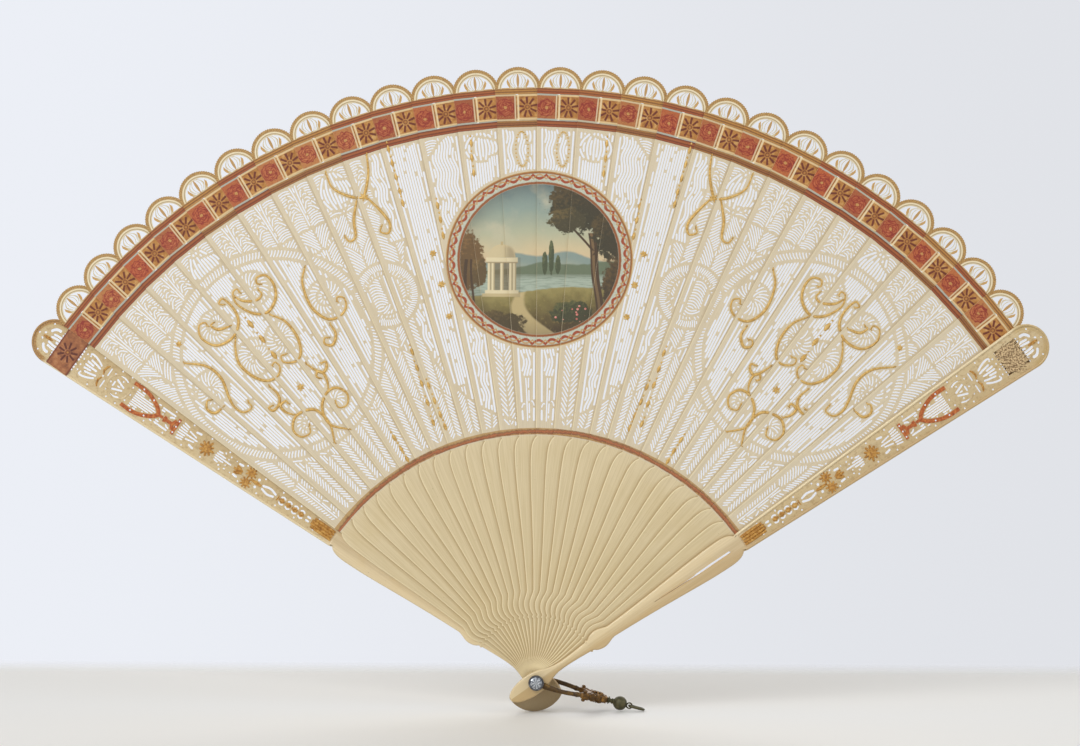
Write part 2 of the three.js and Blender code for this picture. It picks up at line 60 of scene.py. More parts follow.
class Finish:
    """A socket of a material's node tree. Sums of sockets are written as sums and add Math nodes."""

    def __init__(self, tree, socket=None):
        self.tree = tree
        self.socket = socket

    def node(self, kind, settings=(), inputs=(), output=0):
        """Adds any node: its settings first, then the values and links of its sockets."""
        made = self.tree.nodes.new("ShaderNode" + kind)
        for name, value in dict(settings).items():
            if name == "stops":
                ramp = made.color_ramp
                while len(ramp.elements) < len(value):
                    ramp.elements.new(0.5)
                for stop, (place, colour) in zip(ramp.elements, value):
                    stop.position = place
                    stop.color = (*(linear(colour) if isinstance(colour, str) else colour), 1)
            else:
                setattr(made, name, value)
        for name, value in dict(inputs).items():
            if isinstance(value, Finish):
                self.tree.links.new(value.socket, made.inputs[name])
            elif isinstance(value, str):
                made.inputs[name].default_value = (*linear(value), 1)
            else:
                made.inputs[name].default_value = value
        return Finish(self.tree, made.outputs[output])

    def sum(self, operation, *terms):
        return self.node("Math", {"operation": operation}, enumerate(terms))

    def __add__(self, other):
        return self.sum("ADD", self, other)

    def __sub__(self, other):
        return self.sum("SUBTRACT", self, other)

    def __rsub__(self, other):
        return self.sum("SUBTRACT", other, self)

    def __mul__(self, other):
        return self.sum("MULTIPLY", self, other)

    def __truediv__(self, other):
        return self.sum("DIVIDE", self, other)

    def __rtruediv__(self, other):
        return self.sum("DIVIDE", other, self)

    __radd__ = __add__
    __rmul__ = __mul__

    def power(self, other):
        return self.sum("POWER", self, other)

    def size(self):
        return self.sum("ABSOLUTE", self)

    def most(self, other):
        return self.sum("MAXIMUM", self, other)

    def wave(self):
        return self.sum("SINE", self)

    def rises(self, start, end):
        """0 below start, 1 above end, and smooth between. With start above end it falls."""
        settings = {"interpolation_type": "SMOOTHSTEP"}
        if start <= end:
            return self.node("MapRange", settings, {0: self, 1: start, 2: end})
        return self.node("MapRange", settings, {0: self, 1: end, 2: start, 3: 1.0, 4: 0.0})

    def within(self, low, high, soft):
        return self.rises(low - soft, low + soft) * self.rises(high + soft, high - soft)

    def between(self, first, second):
        """The first colour where this is 0 and the second where it is 1."""
        return self.node("Mix", {"data_type": "RGBA"}, {0: self, 6: first, 7: second}, output=2)

    def over(self, mask, colour):
        """This colour with another one laid over it where the mask is 1."""
        return mask.between(self, colour)

    def ramp(self, stops):
        return self.node("ValToRGB", {"stops": stops}, {0: self})


def linear(colour):
    """A colour's six hex digits, turned into the shader's linear numbers."""
    parts = [int(colour[k:k + 2], 16) / 255 for k in (0, 2, 4)]
    return tuple(c / 12.92 if c < 0.04 else ((c + 0.055) / 1.055) ** 2.4 for c in parts)


def new_finish(name):
    """A material and the first socket to build it from."""
    material = bpy.data.materials.new(name)
    material.use_nodes = True
    return material, Finish(material.node_tree)


def surface(material):
    return material.node_tree.nodes["Principled BSDF"].inputs


def feed(material, name, value):
    material.node_tree.links.new(value.socket, surface(material)[name])


floor_level = -12.5 * mm
floor_back = 190 * mm
bpy.ops.mesh.primitive_plane_add(size=1, location=(0, 0, 0))
floor = bpy.context.object
floor.name = "floor"
bpy.ops.object.mode_set(mode="EDIT")
bpy.ops.transform.resize(value=(4, 2.4, 1))
bpy.ops.transform.translate(value=(0, floor_back - 1.2, floor_level))
bpy.ops.object.mode_set(mode="OBJECT")
floor_paint, base = new_finish("floor_paint")
depth = base.node("SeparateXYZ", inputs={0: base.node("TexCoord", output="Object")}, output=1)
surface(floor_paint)["Base Color"].default_value = (*linear("e5e5e4"), 1)
surface(floor_paint)["Roughness"].default_value = 0.7
feed(floor_paint, "Alpha", depth.rises(floor_back, floor_back - 60 * mm))
floor.data.materials.append(floor_paint)

world = bpy.data.worlds.new("studio")
bpy.context.scene.world = world
world.use_nodes = True
base = Finish(world.node_tree)
ray = base.node("LightPath")
seen = ray
for output in ("Is Glossy Ray", "Is Transmission Ray"):
    seen = seen.most(Finish(base.tree, ray.socket.node.outputs[output]))
across = base.node("SeparateXYZ", inputs={0: base.node("TexCoord")})
wall = across.rises(-0.2, 0.22).between("eceff6", "e1e3e8")
studio_light = world.node_tree.nodes["Background"]
studio_light.inputs["Color"].default_value = (1.0, 0.985, 0.96, 1)
studio_light.inputs["Strength"].default_value = 0.5
backdrop = base.node("Background", inputs={"Color": wall, "Strength": 1.0})
shown = base.node("MixShader", inputs={0: seen, 1: Finish(base.tree, studio_light.outputs[0]), 2: backdrop})
world.node_tree.links.new(shown.socket, world.node_tree.nodes["World Output"].inputs["Surface"])


def soft_lamp(name, place, aim, width, power):
    bpy.ops.object.light_add(type="AREA", location=place)
    lamp = bpy.context.object
    lamp.name = name
    lamp.rotation_euler = (Vector(aim) - Vector(place)).to_track_quat("-Z", "Y").to_euler()
    lamp.data.size = width
    lamp.data.energy = power
    lamp.data.color = (1.0, 0.99, 0.97)


fan_middle = (0, 0, 120 * mm)
soft_lamp("window_light", (-0.9, -1.3, 1.1), fan_middle, 1.0, 17)
soft_lamp("side_light", (1.2, -0.5, 0.7), fan_middle, 0.8, 3)
soft_lamp("back_light", (0.2, 1.5, 0.9), fan_middle, 1.2, 8)


# Sticks: 26 blades of ivory, each sawn from one thin plate and pierced with a fretsaw. They taper
# in thickness from the head to the round tip. The pattern runs over the whole open fan, and each
# stick carries its own part of it in a window beside a plain border. All sizes are millimetres.
stick_count = 26
tip_radius = 248.0
head_reach = 12.5
cusp_radius = 98.5
body_half = 4.1
stick_half = 9.6
band_outer = 238.4
slot_place = -0.5
angle_step = math.radians(110.7) / (stick_count + 1)
layer_step = 0.52
medallion_height, medallion_half_wide, medallion_half_high = 170.0, 37.7, 35.7
left_border, right_border = 1.85, 0.3
pierced_top = 223.0


def blade_angle(blade):
    return angle_step * (blade - (stick_count + 1) / 2)


def layer(blade):
    return layer_step * ((stick_count + 1) / 2 - blade)


def thickness(radius):
    return 0.43 - 0.16 * (radius + head_reach) / (tip_radius + head_reach)


def half_width(radius, top=stick_half):
    return body_half + (top - body_half) * (radius - cusp_radius) / (tip_radius - top - cusp_radius)


def bend(start, first, second, end, steps=8):
    """Points along a cubic curve, without its first one."""
    t = np.linspace(0, 1, steps + 1)[1:, None]
    p, q, r, s = (np.array(corner, float) for corner in (start, first, second, end))
    return [*((1 - t) ** 3 * p + 3 * (1 - t) ** 2 * t * q + 3 * (1 - t) * t ** 2 * r + t ** 3 * s)]


def arc(middle, radius, start, end, steps):
    turns = np.radians(np.linspace(start, end, steps + 1))
    return [np.array(middle) + radius * np.array((math.cos(t), math.sin(t))) for t in turns]


def blade_outline(top, notches=0):
    """The right edge of a blade from the foot of its head to its tip, and the left one back."""
    foot = -head_reach / 6
    head = [np.array((4.4 * math.cos(t), foot + (head_reach + foot) * math.sin(t)))
            for t in np.radians(np.linspace(-90, 0, 13))]
    right = (head + bend((4.4, foot), (4.4, 5), (1.45, 5.6), (1.45, 12.5))
             + bend((1.45, 12.5), (1.45, 18), (1.9, 22), (2.1, 25), 4))
    right += arc((2.1, 25.7), 0.55, -75, 75, 5) + bend((2.1, 26.6), (3.1, 26.9), (3.9, 29), (3.9, 31), 6)
    right += bend((3.9, 31), (3.9, 33), (2.7, 34.6), (2.5, 36.5), 5)
    right += bend((2.5, 36.5), (3.6, 64), (5.8, 77.5), (5.8, 91.5), 12)
    right += bend((5.8, 91.5), (5.8, 95.9), (4.7, 97.8), (3.7, 98.5)) + [np.array((body_half, 100.1))]
    crown = arc((0, tip_radius - top), top, 0, 90, notches if notches else 16)
    if notches:
        middle = np.array((0, tip_radius - top))
        crown = [middle + (p - middle) * (1 if k % 2 else 0.97) for k, p in enumerate(crown)]
    right += crown
    left = [np.array((-p[0], p[1])) for p in right[-2:0:-1]]
    return right + left


def tulip_openings():
    """The openings of a stick's round tip: they leave a bud, bowed stems and a leaf on each side."""
    low, high, rim = 239.4, 245.15, 6.75
    t = np.linspace(0.03, 0.97, 9)
    bow = np.sin(np.pi * t) ** 0.75
    rise = low + (high - low) * t
    holes = []
    for side in (-1, 1):
        for inner, near, outer, far in ((0.1, 0.46, 0.28, 1.42), (0.5, 1.5, 0.6, 2.2)):
            holes.append([*np.c_[side * (inner + near * bow), rise], *np.c_[side * (outer + far * bow), rise][::-1]])
        stem = [np.array((side * (0.62 + 2.75 * math.sin(math.pi * k) ** 0.8), low + (high - low) * k))
                for k in (0.06, 0.2, 0.36, 0.52, 0.68, 0.82)]
        edge = [np.array((side * p[0], p[1])) for p in arc((0, band_outer), rim, 76, 9, 8)]
        leaf = [np.array((side * across, along)) for across, along in
                ((3.4, 239.5), (4.2, 240.6), (4.6, 241.9), (4.05, 243.1), (3.65, 241.9), (2.95, 240.7),
                 (1.9, 239.45))]
        holes.append(stem + edge + leaf)
    return holes


cell = 0.08
wall = 0.25
map_low = np.array((-10.4, 99.0))
cells_across = map_low[0] + cell * np.arange(262)
cells_along = map_low[1] + cell * np.arange(1860)
PLAIN, ROUNDEL, RING, SUN, OPEN, FEATHER, LOOP, CREST = range(8)
roundel_middle, roundel_radius, ring_radius = (105.6, 130.9), 39.0, 43.0
sun_middle, sun_radius = (61.3, 155.4), 13.2


def seen_at(across, down, depth=-4.0):
    """The place on the fan, as X and Z, that the view shows at a spot of its frame."""
    ray = camera_turn.to_3x3() @ Vector((across - view_width / 2, view_height / 2 - down, -lens_pixels))
    place = camera.location / mm + ray * ((depth - camera.location.y / mm) / ray.y)
    return np.array((place.x, place.z))


def smooth(points, step=0.5):
    """A smooth line through the points, as points a step apart."""
    p = np.array(points, float)
    p = np.vstack((2 * p[0] - p[1], p, 2 * p[-1] - p[-2]))
    line = []
    for a, b, c, d in zip(p, p[1:], p[2:], p[3:]):
        for t in np.arange(0, 1, 1 / max(2, round(np.linalg.norm(c - b) / step))):
            line.append(0.5 * (2 * b + (c - a) * t + (2 * a - 5 * b + 4 * c - d) * t ** 2
                               + (3 * b - a - 3 * c + d) * t ** 3))
    return np.array(line + [p[-2]])


def spaced(line, step):
    """The same line with its points evenly spaced."""
    line = np.array(line, float)
    along = np.r_[0, np.cumsum(np.linalg.norm(np.diff(line, axis=0), axis=1))]
    places = np.linspace(0, along[-1], max(2, int(along[-1] / step) + 1))
    return np.c_[np.interp(places, along, line[:, 0]), np.interp(places, along, line[:, 1])]


# The gilt scrolls of the right half, laid out on the view's frame. The left half mirrors them.
scroll_lines = [
    [(773, 269), (775, 286), (766, 309), (750, 321), (737, 318), (731, 309), (733, 300), (740, 299), (740, 304)],
    [(747, 326), (741, 336), (744, 347), (752, 346), (752, 340), (748, 340)],
    [(817, 287), (821, 286), (821, 280), (812, 278), (804, 287), (802, 301), (810, 315), (825, 316), (841, 307),
     (845, 296), (841, 292), (838, 296)],
    [(843, 300), (834, 304), (821, 303), (816, 297), (820, 292)],
    [(854, 308), (859, 307), (855, 302), (844, 312), (839, 326), (845, 341), (861, 349), (876, 342), (879, 330),
     (873, 326), (870, 330)],
    [(847, 329), (859, 333), (867, 329), (864, 326)],
    [(808, 317), (792, 324), (780, 339), (776, 355), (781, 364), (793, 365), (796, 359), (791, 357)],
    [(842, 341), (842, 352), (838, 367), (825, 379), (810, 384), (799, 379), (797, 370), (802, 365), (805, 369)],
    [(756, 366), (751, 364), (750, 370), (754, 375), (762, 372), (771, 366)],
    [(756, 381), (760, 379), (759, 374), (753, 376), (749, 384), (748, 392)],
    [(788, 407), (791, 404), (796, 409), (791, 415), (782, 418)],
    [(804, 409), (808, 411), (803, 414), (797, 406), (799, 397), (808, 389)],
    [(726, 432), (746, 427), (754, 411), (750, 396), (740, 390), (729, 396), (729, 407), (737, 410), (741, 404)],
    [(741, 446), (746, 427), (758, 414), (769, 413), (781, 420), (783, 433), (775, 440), (766, 436), (767, 428)],
    [(894, 367), (871, 370), (856, 382), (848, 401), (842, 411), (833, 416), (825, 411), (829, 405)],
    [(853, 410), (862, 417), (870, 413), (870, 405), (866, 404)],
    [(712, 155), (710, 174), (713, 194), (717, 199), (731, 197), (746, 189), (753, 174)],
    [(721, 199), (724, 221), (722, 238), (728, 243), (733, 238)],
    [(713, 197), (698, 211), (688, 224), (689, 234), (697, 233), (696, 227)],
]
scrolls = []
for line in scroll_lines:
    right_line = smooth([seen_at(*place) for place in line])
    scrolls += [right_line, right_line * (-1, 1)]

# Husks hang in chains, with buds and stars between them, laid out on the right half in the same way.
husk_chains = [
    [(681, 440), (674, 451), (668, 461)], [(664, 353), (659, 369), (654, 385), (648, 404), (642, 424)],
    [(647, 387), (641, 402), (635, 416), (630, 428)], [(690, 150), (686, 164), (682, 178), (678, 192), (675, 204)],
    [(607, 143), (606, 158), (604, 173)], [(640, 206), (637, 220), (634, 236)],
]
buds = [(827, 327), (815, 342), (803, 358)]
stars = [(776, 390, 1.7), (635, 285, 1.6), (627, 317, 1.4), (644, 254, 1.5), (714, 198, 1.9), (899, 348, 1.3)]
bead_ovals = {13: (522, 148), 14: (563, 148.5)}
oval_half_wide, oval_half_tall = 2.5, 7.0


def corners_of(points, first, last, off=0.03):
    """The places in a line that it needs to keep its shape."""
    if last - first < 2:
        return [first, last] if last > first else [first]
    chord = points[last] - points[first]
    away = points[first:last + 1] - points[first]
    distance = np.abs(away[:, 0] * chord[1] - away[:, 1] * chord[0]) / (np.linalg.norm(chord) + 1e-9)
    middle = first + int(distance.argmax())
    if distance.max() < off or middle in (first, last):
        return [first, last]
    return corners_of(points, first, middle, off)[:-1] + corners_of(points, middle, last, off)


def is_simple(shape):
    """Tells whether no two sides of a closed shape cross."""
    a, b = shape, np.roll(shape, -1, 0)

    def side_of(p, q, c):
        return ((q[:, None, 0] - p[:, None, 0]) * (c[None, :, 1] - p[:, None, 1])
                - (q[:, None, 1] - p[:, None, 1]) * (c[None, :, 0] - p[:, None, 0]))

    ends = side_of(a, b, a) * side_of(a, b, b)
    return not ((ends < -1e-12) & (ends.T < -1e-12)).any()


class Fretsaw:
    """The sawing of one blade. It keeps a map of what may still be cut and a list of the cuts."""

    def __init__(self, turn):
        self.turn = turn
        self.holes = []
        self.u, self.r = np.meshgrid(cells_across, cells_along, indexing="ij")
        self.kept = np.zeros(self.u.shape, bool)
        self.zone = np.full(self.u.shape, PLAIN)

    def from_fan(self, points):
        points = np.atleast_2d(points)
        c, s = math.cos(self.turn), math.sin(self.turn)
        return np.c_[points[:, 0] * c - points[:, 1] * s, points[:, 0] * s + points[:, 1] * c]

    def middle(self, r):
        return (left_border - right_border + math.sin(angle_step) * r) / 2 - half_width(r)

    def reach(self, r):
        return (math.sin(angle_step) * r - left_border - right_border) / 2

    def cells_of(self, points):
        cells = np.rint((points - map_low) / cell).astype(int)
        return np.clip(cells, 0, (len(cells_across) - 1, len(cells_along) - 1))

    def keep(self, points, radius):
        """Keeps the wall round a line from being cut."""
        inside = (np.abs(points[:, 0]) < 11) & (points[:, 1] > 98)
        cells = self.cells_of(points[inside])
        reach = int(radius / cell)
        disc = np.argwhere(np.hypot(*np.meshgrid(*[np.arange(-reach, reach + 1)] * 2)) <= radius / cell) - reach
        spots = self.cells_of(map_low + cell * (cells[:, None] + disc[None]).reshape(-1, 2))
        self.kept[spots[:, 0], spots[:, 1]] = True

    def cut(self, line, width, zone, least=1.3):
        """Saws a slit along a line, wherever the blade is still whole and of that zone."""
        points = spaced(line, 0.12)
        if len(points) < 4:
            return
        run = np.gradient(points, axis=0)
        run /= np.linalg.norm(run, axis=1)[:, None] + 1e-9
        side = np.c_[-run[:, 1], run[:, 0]] * width / 2
        free = (np.abs(points[:, 0]) < 10.3) & (points[:, 1] > 99.5)
        for offset in (-side, 0 * side, side):
            cells = self.cells_of(points + offset)
            free &= ~self.kept[cells[:, 0], cells[:, 1]]
            if zone is not None:
                free &= self.zone[cells[:, 0], cells[:, 1]] == zone
        bounds = np.flatnonzero(np.diff(np.r_[0, free.astype(int), 0]))
        for first, last in zip(bounds[::2], bounds[1::2]):
            if (last - first) * 0.12 < least:
                continue
            part, lean = points[first:last], side[first:last]
            inner = corners_of(part, 3, len(part) - 4)
            hole = np.array([part[0], *(part + lean)[inner], part[-1], *(part - lean)[inner[::-1]]])
            if is_simple(hole):
                self.holes.append(hole)
                self.keep(part, width / 2 + wall)


# Inside the scrolls the slits spread like the ribs of a shell from these places.
mm_per_view_unit = 0.403
shells = [(seen_at(across, down), reach * mm_per_view_unit) for across, down, reach in (
    (752, 299, 18), (826, 292, 18), (862, 330, 17), (795, 340, 17), (822, 360, 19), (741, 402, 11),
    (769, 427, 12), (866, 392, 18))]


def mark_out(blade):
    """Draws the pattern's zones on a stick, and keeps its border, the picture and the gilt lines."""
    saw = Fretsaw(blade_angle(blade))
    u, r = saw.u, saw.r
    x = np.abs(u * math.cos(saw.turn) + r * math.sin(saw.turn))
    z = r * math.cos(saw.turn) - u * math.sin(saw.turn)
    saw.kept = np.abs(u - saw.middle(r)) > saw.reach(r)
    saw.kept |= (r < 102.8) | (r > pierced_top)
    saw.kept |= np.hypot(x / medallion_half_wide, (z - medallion_height) / medallion_half_high) < 1.015
    from_roundel = np.hypot(x - roundel_middle[0], z - roundel_middle[1])
    from_sun = np.hypot(x - sun_middle[0], z - sun_middle[1])
    saw.zone[:] = FEATHER
    saw.zone[(r > 204) & (x > 40)] = CREST
    garland = (x > 47) & (x < 76) & (r > 186) & (x < 76 - (222 - z) * 0.35)
    saw.zone[(np.hypot(x / 54, (z - 172) / 68) < 1) | garland] = OPEN
    saw.zone[from_roundel < ring_radius] = RING
    saw.zone[from_roundel < roundel_radius] = ROUNDEL
    saw.zone[from_sun < sun_radius] = SUN
    for spot, reach in shells:
        saw.zone[np.hypot(x - spot[0], z - spot[1]) < reach] = LOOP
    for radius, reach in ((roundel_radius, from_roundel), (ring_radius, from_roundel), (sun_radius, from_sun)):
        saw.kept |= np.abs(reach - radius) < 0.36
    edges = np.zeros(u.shape, bool)
    edges[1:] |= saw.zone[1:] != saw.zone[:-1]
    edges[:, 1:] |= saw.zone[:, 1:] != saw.zone[:, :-1]
    saw.keep(np.c_[u[edges], r[edges]], 0.2)
    for line in scrolls:
        saw.keep(saw.from_fan(spaced(line, 0.15)), 0.66)
    for side in (-1, 1):
        for chain in husk_chains:
            spots = np.array([seen_at(*spot) for spot in chain]) * (side, 1)
            saw.keep(saw.from_fan(spaced(spots, 0.15)), 0.26)
            saw.keep(saw.from_fan(spots), 0.6)
        for across, down, size in [(*bud, 1.3) for bud in buds] + stars:
            saw.keep(saw.from_fan(seen_at(across, down) * (side, 1)), size * 0.62)
    if blade in bead_ovals:
        middle = saw.from_fan(seen_at(*bead_ovals[blade]))[0]
        saw.keep(np.array([middle + (oval_half_wide * math.cos(t), oval_half_tall * math.sin(t))
                           for t in np.linspace(0, 6.3, 200)]), 0.4)
    return saw


ring_cuts, sun_cuts = [], []
for k in range(200):
    turn = 2 * math.pi * k / 200
    lines = [(roundel_middle[0] + p * math.cos(turn + lean), roundel_middle[1] + p * math.sin(turn + lean))
             for p, lean in ((39.5, -0.011), (41, 0.004), (42.5, 0.011))]
    ring_cuts += [np.array(lines), np.array(lines) * (-1, 1)]
for k in range(82):
    turn = 2 * math.pi * k / 82
    lines = [(sun_middle[0] + p * math.cos(turn + lean), sun_middle[1] + p * math.sin(turn + lean))
             for p, lean in ((8.3, 0), (10.5, 0.06), (12.8, 0.03))]
    sun_cuts += [np.array(lines), np.array(lines) * (-1, 1)]


def shell(saw, middle, reach, swirl):
    """Slits that spread from a place like the ribs of a shell, closer set towards its edge."""
    t = np.linspace(0.12, 1.05, 10)
    ribs = int(2 * math.pi * reach / 1.02)
    for k in range(ribs):
        turn = 2 * math.pi * k / ribs + swirl * t
        first = 4 if k % 2 else 0
        points = middle + reach * t[:, None] * np.c_[np.cos(turn), np.sin(turn)]
        saw.cut(saw.from_fan(points)[first:], 0.56, LOOP, least=1.0)


def feather(saw, low, high, zone, lift=1.5, droop=0.3, sway=0.0, pitch=1.04, width=0.54):
    """A plume along the window: long barbs that leave a middle stem on both sides."""
    t = np.linspace(0, 1, 13)
    for r in np.arange(low, high, pitch * math.hypot(1, lift * (1 - droop))):
        bow = sway * math.sin((r - low) / 7)
        for side in (-1, 1):
            far = saw.reach(r) * 1.25
            u = saw.middle(r) + bow + side * (0.3 + far * t)
            saw.cut(np.c_[u, r + lift * far * (t - droop * t ** 2)], width, zone)


def fountain(saw, low, high, zone, width=0.54):
    """A crest of slits that rise together and fall away to both sides."""
    tall = high - low
    for k in range(8):
        share = k / 7
        for side in (-1, 1):
            far = saw.reach(low + tall * 0.7) * 1.1
            start = (saw.middle(low) + side * (0.34 + 0.05 * k), low + 0.6 * k)
            over = (saw.middle(high) + side * far * (0.1 + 0.35 * share), low + tall * (1.05 - 0.35 * share))
            end = (saw.middle(high) + side * far * (0.2 + 0.85 * share), low + tall * (1.02 - 0.95 * share ** 1.3))
            saw.cut([start, *bend(start, (start[0], low + tall * 0.35), over, end, 12)], width, zone)


def basket(saw, low, high, zone, width=0.8):
    """A round basket of bowed upright slits."""
    t = np.linspace(0, 1, 11)
    far = saw.reach((low + high) / 2) - 0.4
    for share in np.linspace(-1, 1, 10):
        bow = 0.45 + 0.55 * np.sin(np.pi * (0.12 + 0.88 * t)) if share else 1
        u = saw.middle(low + (high - low) * t) + share * far * bow
        saw.cut(np.c_[u, low + (high - low) * (0.06 * share ** 2 + (1 - 0.12 * share ** 2) * t)], width, zone)


def long_slits(saw, zone, pitch, width, play, wavy=0.0, least=1.6):
    """Long slits side by side, each broken now and then by a short bridge. The outer two follow the
    window's edges."""
    rows = [(lambda r, side=side: saw.middle(r) + side * (saw.reach(r) - width / 2 - 0.12)) for side in (-1, 1)]
    rows += [(lambda r, u=u: u - (r - 163) * 0.004 + wavy * np.sin(r * 0.55)) for u in np.arange(-9.8, 5.0, pitch)]
    for row in rows:
        r = 102.9 + play.uniform(0, 3)
        while r < pierced_top:
            end = min(pierced_top, r + play.uniform(24, 60))
            places = np.arange(r, end, 1.0)
            saw.cut(np.c_[row(places), places], width, zone, least=least)
            r = end + 0.7


sawn = {}
for blade in range(1, stick_count + 1):
    saw = mark_out(blade)
    twin = min(blade, stick_count + 1 - blade)
    play = random.Random(40 + twin)
    outer = twin <= 8
    for line in ring_cuts:
        if abs(saw.from_fan(line[:1])[0, 0]) < 12:
            saw.cut(saw.from_fan(line), 0.54, RING, least=1.0)
    for line in sun_cuts:
        if abs(saw.from_fan(line[:1])[0, 0]) < 12:
            saw.cut(saw.from_fan(line), 0.46, SUN, least=1.0)
    for number, (spot, reach) in enumerate(shells):
        for side in (-1, 1):
            shell(saw, spot * (side, 1), reach, side * (0.7 if number % 2 else -0.7))
    for k in range(-16, 17):
        t = np.linspace(-1, 1, 9)
        for step in range(3):
            u = saw.middle(163 + 3.6 * k) + 3.0 * t
            saw.cut(np.c_[u, 163 + 3.6 * k + 1.2 * step - 1.5 * (t ** 2 + 0.7 * t) * (1 if k % 8 < 4 else -1)],
                    0.54, SUN)
    if twin in (4, 8):
        basket(saw, 206, 221.5, CREST)
    elif twin == 12:
        basket(saw, 211, 222.5, OPEN)
    else:
        fountain(saw, 205, 222.5, CREST)
    feather(saw, 204, pierced_top, CREST, lift=0.7, droop=1.1)
    long_slits(saw, ROUNDEL, 1.04, 0.74, play)
    if twin % 3 == 0 and not outer:
        feather(saw, 103, 133, OPEN, lift=1.7, droop=0.2, pitch=1.2)
    elif twin % 3 == 1 and not outer:
        fountain(saw, 104, 122, OPEN)
    long_slits(saw, OPEN, 1.16 if twin % 2 else 1.06, 0.76, play, wavy=0.6 if twin % 2 else 0.0)
    places = [103.5, *np.cumsum([play.uniform(19, 27) for _ in range(6)]) + 103.5]
    for low, high in zip(places, places[1:]):
        kind = play.choice(("up", "up", "down", "sway", "fountain"))
        if kind == "fountain":
            fountain(saw, low, min(high, pierced_top), FEATHER)
        lift = {"up": 1.6, "down": -1.5, "sway": 1.1, "fountain": 1.0}[kind]
        feather(saw, low, min(high - 1.2, pierced_top), FEATHER, lift, 0.3, 0.9 if kind == "sway" else 0.0)
    long_slits(saw, None, 0.98, 0.58, play, least=1.2)
    sawn[blade] = saw


def pick(piece):
    bpy.ops.object.select_all(action="DESELECT")
    bpy.context.view_layer.objects.active = piece
    piece.select_set(True)


def in_edit_mode(operator, **options):
    """Runs an edit operator on the whole of the active piece."""
    bpy.ops.object.mode_set(mode="EDIT")
    bpy.ops.mesh.select_all(action="SELECT")
    operator(**options)
    bpy.ops.object.mode_set(mode="OBJECT")


def sheet_of_ivory(name, outline, holes, half_thick=0.5, bevel=0.0, steps=0):
    """A flat plate with its openings, filled between closed lines and given a thickness. The fill
    can go wrong at one slant of the lines and not at another, so its area is checked."""
    areas = []
    for line in (outline, *holes):
        x, y = np.array(line).T
        areas.append(abs(x @ np.roll(y, -1) - y @ np.roll(x, -1)) / 2)
    for slant in (0.0, 0.3, 0.7, 1.2, 1.5):
        curve = bpy.data.curves.new(name, "CURVE")
        curve.dimensions = "2D"
        curve.fill_mode = "BOTH"
        curve.extrude = half_thick - bevel
        curve.bevel_depth = bevel
        curve.bevel_resolution = steps
        curve.offset = -bevel
        for line in (outline, *holes):
            spline = curve.splines.new("POLY")
            spline.points.add(len(line) - 1)
            for dot, spot in zip(spline.points, line):
                dot.co = (*(Matrix.Rotation(slant, 2) @ Vector(spot)), 0, 1)
            spline.use_cyclic_u = True
        plate = bpy.data.objects.new(name, curve)
        bpy.context.scene.collection.objects.link(plate)
        pick(plate)
        bpy.ops.object.convert(target="MESH")
        plate = bpy.context.object
        plate.data.transform(Matrix.Rotation(-slant, 4, "Z"))
        filled = sum(face.area for face in plate.data.polygons if face.normal.z > 0.9)
        if bevel or abs(filled - 2 * areas[0] + sum(areas)) < 2:
            return plate
        bpy.data.objects.remove(plate)


def stand_up(piece, turn, depth):
    """Stands a piece made flat in (across, along, forwards) up on the fan, at a blade's angle.
    depth gives the Y of a point from its place along the blade and its height off the plate."""
    mesh = piece.data
    flat = np.empty(len(mesh.vertices) * 3)
    mesh.vertices.foreach_get("co", flat)
    u, r, w = flat.reshape(-1, 3).T
    c, s = math.cos(turn), math.sin(turn)
    mesh.vertices.foreach_set("co", (np.c_[u * c + r * s, depth(r, w), r * c - u * s] * mm).ravel())
    corners = np.empty(len(mesh.loops), int)
    mesh.loops.foreach_get("vertex_index", corners)
    blade_map = mesh.uv_layers.new(name="blade")
    blade_map.data.foreach_set("uv", np.c_[u[corners] / 100, r[corners] / 100].ravel())
    mesh.update()
    normals = np.empty(len(mesh.polygons) * 3)
    mesh.polygons.foreach_get("normal", normals)
    front = mesh.attributes.new("front", "FLOAT", "FACE")
    front.data.foreach_set("value", (normals.reshape(-1, 3)[:, 1] < -0.9).astype(np.float32))


slot_outline = [(slot_place - 0.5, 226.3), (slot_place + 0.5, 226.3), (slot_place + 0.5, 236.9),
                (slot_place - 0.5, 236.9)]
stick_outline = blade_outline(stick_half, notches=30)
stick_holes = [arc((0, 0), 1.2, 0, 345, 23), slot_outline, *tulip_openings()]
sticks = {}
for blade, saw in sawn.items():
    name = f"stick_{blade:02d}"
    stick = sheet_of_ivory(name + "_blade", stick_outline, stick_holes + saw.holes)
    stand_up(stick, blade_angle(blade), lambda r, w, y=layer(blade): y - w * thickness(r))
    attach(stick, name)
    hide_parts(name)
    sticks[blade] = stick

# The sticks' finish: polished ivory with a fine grain along the blade, a painted highlight along the left
# edges, painted shade beside the overlapping edges and towards the heads, and bodycolour paint on the
# front: two painted bands, the rim of the tips and the round picture.
stick_ivory, base = new_finish("stick_ivory")


def parts_of(vector):
    made = vector.node("SeparateXYZ", inputs={0: vector})
    return [Finish(vector.tree, made.socket.node.outputs[axis]) for axis in "XYZ"]


def noise_of(vector, scale, detail=2.0, stretch=(1, 1, 1)):
    """Noise of a place, from 0 to 1. Its scale is in bumps for each unit of the place."""
    spread_out = vector.node("VectorMath", {"operation": "MULTIPLY"}, {0: vector, 1: stretch})
    return vector.node("TexNoise", {"noise_dimensions": "3D"},
                       {"Vector": spread_out, "Scale": scale, "Detail": detail})


def combined(x, y, z=0.0):
    return x.node("CombineXYZ", inputs={0: x, 1: y, 2: z})


def place_in_mm(base):
    return base.node("VectorMath", {"operation": "SCALE"}, {0: base.node("TexCoord", output="Object"), 3: 1000.0})


